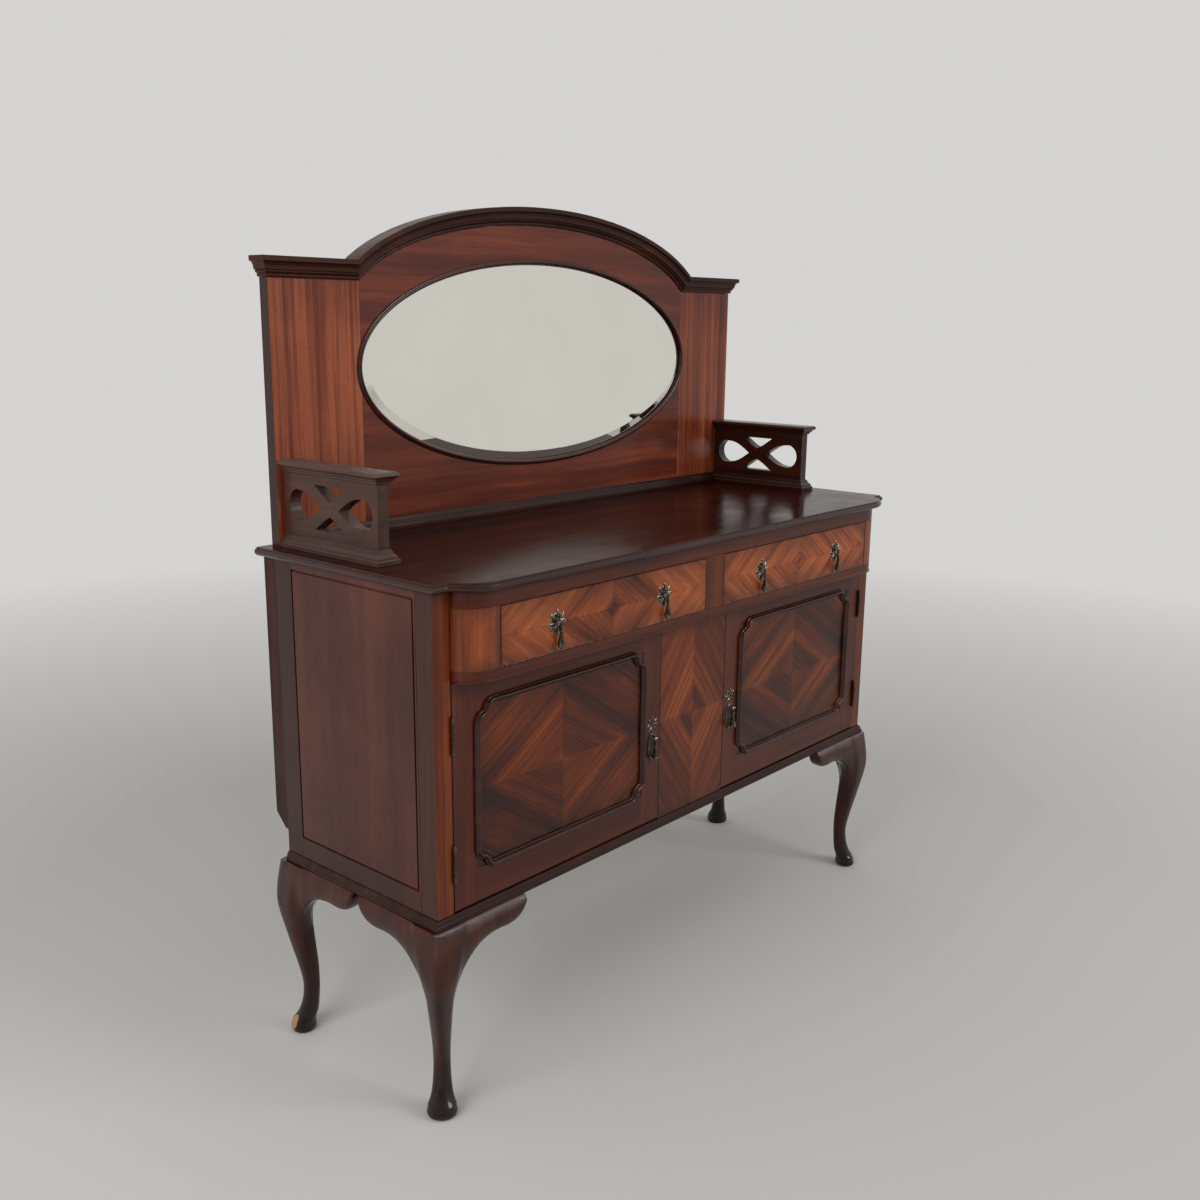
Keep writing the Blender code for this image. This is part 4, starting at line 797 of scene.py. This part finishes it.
# Legs. A station has its share of the height, its shift along the diagonal and its half sizes across and
# along the diagonal, all three in foot radii, and how square it is, from 2 for round upwards.
LEG_FOOT = 0.0262
LEG_POINTS = 40
LEG_STATIONS = [
    (0.000, -0.48, 0.80, 0.71, 2.0), (0.004, -0.47, 0.90, 0.80, 2.0), (0.012, -0.45, 0.97, 0.87, 2.0),
    (0.029, -0.44, 1.00, 0.90, 2.0), (0.040, -0.45, 0.97, 0.87, 2.0), (0.046, -0.47, 0.90, 0.80, 2.0),
    (0.050, -0.47, 0.92, 0.82, 2.0), (0.058, -0.48, 0.95, 0.85, 2.0), (0.068, -0.54, 0.89, 0.81, 2.0),
    (0.085, -0.66, 0.78, 0.74, 2.1), (0.122, -0.88, 0.66, 0.66, 2.2), (0.188, -1.05, 0.57, 0.57, 2.3),
    (0.275, -1.12, 0.53, 0.55, 2.5), (0.376, -0.98, 0.56, 0.65, 2.7), (0.492, -0.71, 0.65, 0.77, 2.9),
    (0.622, -0.42, 0.78, 0.90, 3.2), (0.752, -0.28, 1.03, 1.06, 4.6), (0.868, -0.52, 1.21, 1.16, 7.5),
    (1.000, -1.03, 1.32, 1.26, 12.0)]
EAR_LENGTH = 0.197
EAR_DEPTH = 0.138
EAR_THICK = 0.018
EAR_KNEE = 0.0235
EAR_HOLLOW = 0.85
EAR_FILL = 0.62
EAR_FILL_REACH = 0.30
EAR_TIP = 0.0150
EAR_TAPER_END = 0.6
EAR_EDGE = [(0.15, 1.02), (0.168, 0.90), (0.19, 0.78), (0.235, 0.63), (0.33, 0.47), (0.44, 0.37),
            (0.55, 0.33), (0.66, 0.32), (0.77, 0.33), (0.88, 0.30), (0.96, 0.21), (1.00, 0.09)]
EAR_SECTION = [(0.48, 0.0), (0.74, 0.12), (0.93, 0.30), (1.0, 0.50), (0.96, 0.78), (0.70, 1.0)]
CARVE_GRAIN = 0.0016
SOFTEN_ROUNDS = 4
BLEND_FROM = 0.60
BLEND_ROUNDS = 60
CORNER_KEPT = 0.004
CHIPS = {"rear_left": ((-0.692, 0.213, 0.030), (0.012, 0.015, 0.026)),
         "front_right": ((0.675, -0.207, 0.022), (0.011, 0.012, 0.026))}


def leg_shape(bm, place, top):
    """The leg itself, from pad foot to knee. The place turns corner distances into a point."""
    root = math.sqrt(2)
    rings = []
    for share, out, across, along, power in curve_through(LEG_STATIONS, 3):
        ring = []
        for cosine, sine in circle(*UNIT_CIRCLE, LEG_POINTS):
            reach = (abs(cosine) ** power + abs(sine) ** power) ** (-1 / power)
            diagonal = ((cosine + sine) * reach / root * along + out) * LEG_FOOT
            sideways = (cosine - sine) * reach / root * across * LEG_FOOT
            ring.append(place((diagonal + sideways) / root, (diagonal - sideways) / root, share * top))
        rings.append(ring)
    skin(bm, rings)


def ear_shape(bm, length, place):
    """A knee bracket with a swelling face and a shaped lower edge, full at the knee and thin at its tip."""
    section = curve_through(EAR_SECTION, 3)
    rings = []
    for along, drop in curve_through(EAR_EDGE, 4):
        reach = EAR_KNEE + (EAR_TIP - EAR_KNEE) * min(along / EAR_TAPER_END, 1.0)
        fill = EAR_FILL * max(0.0, 1 - (along - EAR_EDGE[0][0]) / EAR_FILL_REACH)
        depth = drop * EAR_DEPTH
        ring = []
        for out, down in section:
            hollow = 1 - EAR_HOLLOW * (down * drop) ** 2
            ring.append(place(along * length, reach * max(out, fill) * hollow, depth * down))
        ring += [place(along * length, -EAR_THICK, depth), place(along * length, -EAR_THICK, 0.0)]
        rings.append(ring)
    skin(bm, rings)


def carve(piece):
    """Blend overlapping solids into one surface with soft inner corners."""
    remesh = piece.modifiers.new("carve", "REMESH")
    remesh.mode = "VOXEL"
    remesh.voxel_size = CARVE_GRAIN
    soften = piece.modifiers.new("soften", "SMOOTH")
    soften.factor = 0.5
    soften.iterations = SOFTEN_ROUNDS
    bpy.context.view_layer.update()
    carved = bpy.data.meshes.new_from_object(piece.evaluated_get(bpy.context.evaluated_depsgraph_get()))
    piece.modifiers.clear()
    piece.data = carved
    return carved


def blend_knee(mesh, top, corner_distance):
    """Smooth the knee into its brackets, and keep its outer corner and the top where it meets the case."""
    bm = bmesh.new()
    bm.from_mesh(mesh)
    inner = [vertex for vertex in bm.verts if corner_distance(vertex.co) > CORNER_KEPT]
    knee = [vertex for vertex in inner if BLEND_FROM * top < vertex.co.z < top - CARVE_GRAIN]
    rim = [vertex for vertex in inner if vertex.co.z >= top - CARVE_GRAIN]
    for _ in range(BLEND_ROUNDS):
        bmesh.ops.smooth_vert(bm, verts=knee, factor=0.5, use_axis_x=True, use_axis_y=True, use_axis_z=True)
        bmesh.ops.smooth_vert(bm, verts=rim, factor=0.5, use_axis_x=True, use_axis_y=True, use_axis_z=False)
    bm.to_mesh(mesh)
    bm.free()


def carved_leg(side, word, end, end_word, material):
    """Leg and brackets blended into one carved form, inside the box of their CAD node."""
    name = "leg_" + end_word + "_" + word
    low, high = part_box(name)
    top = high.z
    post_low, post_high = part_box("corner_post_right")
    case_half = post_high.x
    case_front = post_low.y
    case_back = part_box("side_right")[1].y
    corner_y = case_front if end < 0 else case_back
    side_length = high.y - case_front if end < 0 else case_back - low.y
    merged = bmesh.new()
    leg_shape(merged, lambda u, v, z: (side * (case_half + u), corner_y + end * v, z), top)
    ear_shape(merged, side_length,
              lambda along, out, down: (side * (case_half + out), corner_y - end * along, top - down))
    if end < 0:
        ear_shape(merged, EAR_LENGTH,
                  lambda along, out, down: (side * (case_half - along), case_front - out, top - down))
    bmesh.ops.recalc_face_normals(merged, faces=merged.faces[:])
    piece = add_object("carved_" + name, add_mesh("carved_" + name, merged))
    carved = carve(piece)
    blend_knee(carved, top, lambda point: max(case_half - side * point.x, end * (corner_y - point.y)))
    for vertex in carved.vertices:
        vertex.co = [min(max(value, least), most) for value, least, most in zip(vertex.co, low, high)]
    carved.materials.clear()
    carved.materials.append(material)
    carved.shade_smooth()
    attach(piece, "carcass")
    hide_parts(name)


def carved_legs():
    """Four legs. Two feet show bare wood on one side, where a flake has gone."""
    for side, word in SIDES:
        for end, end_word in ((-1, "front"), (1, "rear")):
            key = end_word + "_" + word
            changes = [rubbed_knee(side), blackened_foot(0.06, 0.16), nicks(0.45, 7.0)]
            if end < 0:
                # Painted highlight on the upper swell of the front brackets.
                changes.append(painted_bracket_highlight(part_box("corner_post_right")[0].y - 0.002, 0.19))
            if key in CHIPS:
                changes.append(bare_patch(*CHIPS[key]))
            material = wood("leg_" + key + "_mahogany", upright, LEG, stripe=70.0,
                            seed=100.0 + 7 * side + 3 * end, roughness=(0.24, 0.36), coat=0.55,
                            coat_roughness=0.11, specular=0.12, changes=changes, rubbed=0.0)
            carved_leg(side, word, end, end_word, material)


# Handles
PLATE_LEAVES = 8
LEAF_DEPTH = 0.24
LEAF_SHARES = (0.0, 0.02, 0.05, 0.09, 0.13, 0.18, 0.26, 0.36, 0.48, 0.60, 0.72, 0.82, 0.90, 0.96, 1.0)
BEADED_SHARE = 0.13
BEADS = 24
PLATE_THICK = 0.0020
PLATE_DOME = 0.0016
HUB_RADIUS = 0.0030
BOSS_RADIUS = 0.0042
BOSS_RISE = 0.0034
ESCUTCHEON_WIDTH = 0.032
ESCUTCHEON_DOME = 0.0006
DROP_PLATE_WIDTH = 0.026
DROP_PLATE_HEIGHT = 0.058
KEYHOLE_WIDTH = 0.0036
KEYHOLE_HEIGHT = 0.010
BARREL_RADIUS = 0.0021
CHEEK_START = 0.0024
CHEEK_THICK = 0.0018
CHEEK_SINK = 0.001
AROUND = 128


def leafy_edge(turn):
    """Share of the full reach at one angle: pointed leaves with a curled lobe on each side."""
    wave = abs(math.sin(PLATE_LEAVES * turn / 2))
    curl = 0.045 * math.sin(min(wave, 0.85) / 0.85 * math.pi * 2)
    return 1 - LEAF_DEPTH * 1.15 * wave ** 0.85 + curl


def leafy_rise(share, turn, dome):
    """Height of a casting over its back: a beaded ring round the middle, then ribs with grooves between."""
    rise = PLATE_THICK * 0.45 + dome * (1 - share) ** 1.2
    if share <= BEADED_SHARE:
        return rise + 0.0008 * math.sin(share / BEADED_SHARE * math.pi) * (0.8 + 0.2 * math.cos(BEADS * turn))
    rib = abs(math.cos(PLATE_LEAVES * turn / 2))
    swell = math.sin((share - BEADED_SHARE) / (1 - BEADED_SHARE) * math.pi) ** 0.7
    ribbed = 0.0015 * rib ** 3 - 0.0006 * (1 - rib)
    return rise + swell * (ribbed + 0.0003 * math.cos(3 * PLATE_LEAVES * turn))


def leafy_rings(bm, centre, width, height, inner, dome):
    """Cast leaves round a hole of the inner half sizes, with a flat back."""
    x, face, z = centre
    rings = []
    for share in LEAF_SHARES:
        ring = []
        for index in range(AROUND):
            turn = 2 * math.pi * index / AROUND
            edge = leafy_edge(turn)
            u = math.sin(turn) * (inner[0] * (1 - share) + width / 2 * edge * share)
            v = math.cos(turn) * (inner[1] * (1 - share) + height / 2 * edge * share)
            rise = leafy_rise(share, turn, dome) if share < 1.0 else PLATE_THICK * 0.30
            ring.append((x + u, face - rise, z + v))
        rings.append(ring)
    hole, back = ([(px, face, pz) for px, _, pz in ring] for ring in (rings[0], rings[-1]))
    skin(bm, [hole, *rings, back], loop=True)


def turned(bm, centre, radii, profile, count):
    """Rings round an axis from back to front, each with a share of the radii and a place on the axis."""
    x, z = centre
    skin(bm, [[(u, y, v) for u, v in circle((x, z), (radii[0] * share, radii[1] * share), count)]
              for share, y in profile])


def dished_oval(bm, centre, width, height):
    """Oval back plate with a raised beaded rim round a hollow."""
    x, face, z = centre
    profile = [(0.05, 0.0006), (0.60, 0.0006), (0.74, 0.0009), (0.80, 0.0020), (0.86, 0.0026), (0.92, 0.0024),
               (0.95, 0.0016), (0.98, 0.0018), (1.0, 0.0010), (1.0, 0.0)]
    turned(bm, (x, z), (width / 2, height / 2), [(share, face - rise) for share, rise in profile], 64)


def boss(bm, centre):
    """Domed boss behind the pivot."""
    x, face, z = centre
    profile = [(share, face - BOSS_RISE * out)
               for share, out in ((1.0, 0.0), (1.0, 0.35), (0.88, 0.72), (0.62, 0.93), (0.05, 1.0))]
    turned(bm, (x, z), (BOSS_RADIUS, BOSS_RADIUS), profile, 32)


def lug(bm, x, face_y, pivot_y, pivot_z):
    """Rounded cheek that carries one end of the pivot."""
    profile = [(face_y, pivot_z - BARREL_RADIUS)]
    profile += arc((pivot_y, pivot_z), (BARREL_RADIUS, BARREL_RADIUS), -90, -270, 12)
    profile.append((face_y, pivot_z + BARREL_RADIUS))
    skin(bm, [[(x + offset, y, z) for y, z in profile] for offset in (0.0, CHEEK_THICK)])


BARREL_SHAPE = ((-0.0021, 0.8), (-0.0016, 1.0), (0.0016, 1.0), (0.0021, 0.8))
DROP_SHAPE = [(0.04, 0.0), (0.20, 0.004), (0.30, 0.016), (0.32, 0.032), (0.24, 0.050), (0.26, 0.062),
              (0.62, 0.085), (0.90, 0.125), (1.0, 0.180), (0.97, 0.225), (0.86, 0.290), (0.70, 0.370),
              (0.54, 0.460), (0.41, 0.560), (0.32, 0.660), (0.27, 0.735), (0.30, 0.752), (0.43, 0.765),
              (0.45, 0.778), (0.38, 0.792), (0.24, 0.806), (0.21, 0.860), (0.20, 0.975)]


def pear_drop(bm, pivot, length, radius):
    """Turned pear drop with a long neck and a ring on it, and its barrel on the pivot."""
    x, y, z = pivot
    rings = []
    for share, rise in curve_through(DROP_SHAPE, 2):
        size = radius * share
        rings.append([(u, v, z + (rise - 1) * length) for u, v in circle((x, y), (size, size), 32)])
    skin(bm, rings)
    rings = []
    for shift, share in BARREL_SHAPE:
        size = BARREL_RADIUS * share
        rings.append([(x + shift, v, w) for v, w in circle((y, z), (size, size), 24)])
    skin(bm, rings)


def build_handle(stem, body, drop_body, long_plate):
    """One cast plate with its lugs, and the drop that swings in them."""
    low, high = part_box(stem + "_plate")
    drop_low, drop_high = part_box(stem + "_drop")
    x = (drop_low.x + drop_high.x) / 2
    face = high.y
    pivot = (x, (drop_low.y + drop_high.y) / 2, drop_high.z - BARREL_RADIUS)
    bm = bmesh.new()
    if long_plate:
        leafy_rings(bm, (x, face, high.z - ESCUTCHEON_WIDTH / 2), ESCUTCHEON_WIDTH, ESCUTCHEON_WIDTH,
                    (KEYHOLE_WIDTH / 2, KEYHOLE_HEIGHT / 2), ESCUTCHEON_DOME)
        dished_oval(bm, (x, face, low.z + DROP_PLATE_HEIGHT / 2), DROP_PLATE_WIDTH, DROP_PLATE_HEIGHT)
    else:
        centre = (x, face, (low.z + high.z) / 2)
        leafy_rings(bm, centre, high.x - low.x, high.z - low.z, (HUB_RADIUS, HUB_RADIUS), PLATE_DOME)
        boss(bm, centre)
    for turn in (-1, 1):
        start = x + turn * CHEEK_START
        lug(bm, min(start, start + turn * CHEEK_THICK), face - CHEEK_SINK, pivot[1], pivot[2])
    make("cast_" + stem + "_plate", bm, CAST_BRASS, body, [stem + "_plate"], 50)
    bm = bmesh.new()
    pear_drop(bm, pivot, pivot[2] - drop_low.z, (drop_high.y - drop_low.y) / 2)
    make("cast_" + stem + "_drop", bm, CAST_BRASS, drop_body, [stem + "_drop"], 50)


def handles():
    """One handle on each door and two on each drawer."""
    for _, word in SIDES:
        build_handle("door_handle_" + word, "door_" + word, "door_" + word + "_drop", True)
        for _, turn in SIDES:
            build_handle("drawer_" + word + "_handle_" + turn, "drawer_" + word,
                         "drawer_" + word + "_drop_" + turn, False)


# Stage
PALE = (0.66, 0.655, 0.64)
FLOOR_SEEN = (0.56, 0.555, 0.54)
FLOOR_BOUNCE = (0.22, 0.215, 0.20)
FLOOR_SIZE = 20.0
FADE_SEEN = (1.4, 4.5)
FADE_BEHIND = (0.3, 1.2)
FADE_FAR = (5.0, 9.0)
WORLD_LIGHT = (1.0, 0.99, 0.97)
WORLD_STRENGTH = 0.50
LIGHT_TARGET = (0.0, 0.0, 0.7)
CAMERA_PLACE = (-1.8813, -1.5795, 1.3231)
CAMERA_YAW = 48.98
CAMERA_PITCH = -13.01
CAMERA_ROLL = 0.653
CAMERA_LENS = 36.806
SENSOR_WIDTH = 36.0


def seen_directly(tree, path):
    """One for the rays that show the background: camera, glossy and transmission rays."""
    seen = calc(tree, "MAXIMUM", path.outputs["Is Camera Ray"], path.outputs["Is Glossy Ray"])
    return calc(tree, "MAXIMUM", seen, path.outputs["Is Transmission Ray"])


def backdrop():
    """Pale floor that fades into the pale surroundings, and is darker for the light that bounces off it."""
    bm = bmesh.new()
    bmesh.ops.create_grid(bm, x_segments=8, y_segments=8, size=FLOOR_SIZE)
    mesh = add_mesh("floor", bm)
    floor = add_object("floor", mesh)
    material, tree, shader = new_material("pale_floor", specular=0.2)
    x, y, _ = object_place(tree)
    distance = calc(tree, "SQRT", times_plus(tree, x, x, times(tree, y, y)))
    path = node(tree, "LightPath")
    finish_shader(tree, shader, blend(tree, seen_directly(tree, path), FLOOR_BOUNCE, FLOOR_SEEN), 0.8)
    near = times(tree, path.outputs["Is Camera Ray"], remap(tree, distance, *FADE_SEEN, 0.0, 1.0))
    behind = remap(tree, y, *FADE_BEHIND, 0.0, 0.85)
    beyond = calc(tree, "MAXIMUM", behind, remap(tree, distance, *FADE_FAR, 0.0, 1.0))
    far = times(tree, path.outputs["Is Glossy Ray"], beyond)
    glow = node(tree, "Emission", {"Color": PALE, "Strength": 1.0})
    glowing = calc(tree, "MAXIMUM", near, far)
    mix = node(tree, "MixShader", {0: glowing, 1: shader.outputs[0], 2: glow.outputs[0]})
    tree.links.new(mix.outputs[0], tree.nodes["Material Output"].inputs["Surface"])
    mesh.materials.append(material)


def surroundings():
    """Even soft light from the world, seen as a pale room, which polish shows darker towards the viewer."""
    world = bpy.data.worlds.new("studio")
    bpy.context.scene.world = world
    world.use_nodes = True
    tree = world.node_tree
    tree.nodes.clear()
    path = node(tree, "LightPath")
    x, y, _ = split(tree, node(tree, "TexCoord").outputs["Generated"])
    yaw = math.radians(CAMERA_YAW)
    ahead = times_plus(tree, x, math.sin(yaw), times(tree, y, math.cos(yaw)))
    dim = times(tree, path.outputs["Is Glossy Ray"], remap(tree, ahead, -1.0, -0.35, -0.65, 0.0))
    light = node(tree, "Background", {"Color": WORLD_LIGHT, "Strength": WORLD_STRENGTH})
    seen = node(tree, "Background", {"Color": PALE, "Strength": calc(tree, "ADD", dim, 1.0)})
    direct = seen_directly(tree, path)
    mix = node(tree, "MixShader", {0: direct, 1: light.outputs[0], 2: seen.outputs[0]})
    output = node(tree, "OutputWorld", {"Surface": mix.outputs[0]})
    output.is_active_output = True


def softbox(name, place, size, power, colour, mirrored):
    """One rectangular soft light. Polish and glass show it only if it is mirrored."""
    lamp = bpy.data.lights.new(name, "AREA")
    lamp.shape = "RECTANGLE"
    lamp.size, lamp.size_y = size
    lamp.energy = power
    lamp.color = colour
    item = add_object(name, lamp)
    item.location = place
    item.visible_glossy = mirrored
    item.rotation_euler = (Vector(LIGHT_TARGET) - Vector(place)).to_track_quat("-Z", "Y").to_euler()


def lights():
    """A key light in front, and a weaker one at the left, where the photograph's wall is."""
    softbox("key_light", (1.6, -4.6, 3.4), (2.4, 1.8), 105.0, (1.0, 0.985, 0.96), True)
    softbox("wall_light", (-3.6, -0.4, 2.0), (2.4, 2.2), 75.0, (1.0, 0.98, 0.95), False)


def camera():
    """The photograph's camera: its place and direction were worked out from the picture."""
    yaw, pitch, roll = (math.radians(angle) for angle in (CAMERA_YAW, CAMERA_PITCH, CAMERA_ROLL))
    forward = Vector((math.sin(yaw) * math.cos(pitch), math.cos(yaw) * math.cos(pitch), math.sin(pitch)))
    right = Vector((math.cos(yaw), -math.sin(yaw), 0.0))
    up = right.cross(forward)
    right_turned = right * math.cos(roll) + up * math.sin(roll)
    up_turned = up * math.cos(roll) - right * math.sin(roll)
    lens = bpy.data.cameras.new("photo_camera")
    lens.sensor_fit = "HORIZONTAL"
    lens.sensor_width = SENSOR_WIDTH
    lens.lens = CAMERA_LENS
    lens.clip_start = 0.05
    item = add_object("photo_camera", lens)
    axes = Matrix((right_turned, up_turned, -forward)).transposed().to_4x4()
    item.matrix_world = Matrix.Translation(CAMERA_PLACE) @ axes
    bpy.context.scene.camera = item


dress_nodes()
door_mouldings()
mirror_pieces()
carved_legs()
handles()
backdrop()
surroundings()
lights()
camera()
bpy.context.scene.view_settings.view_transform = "Standard"
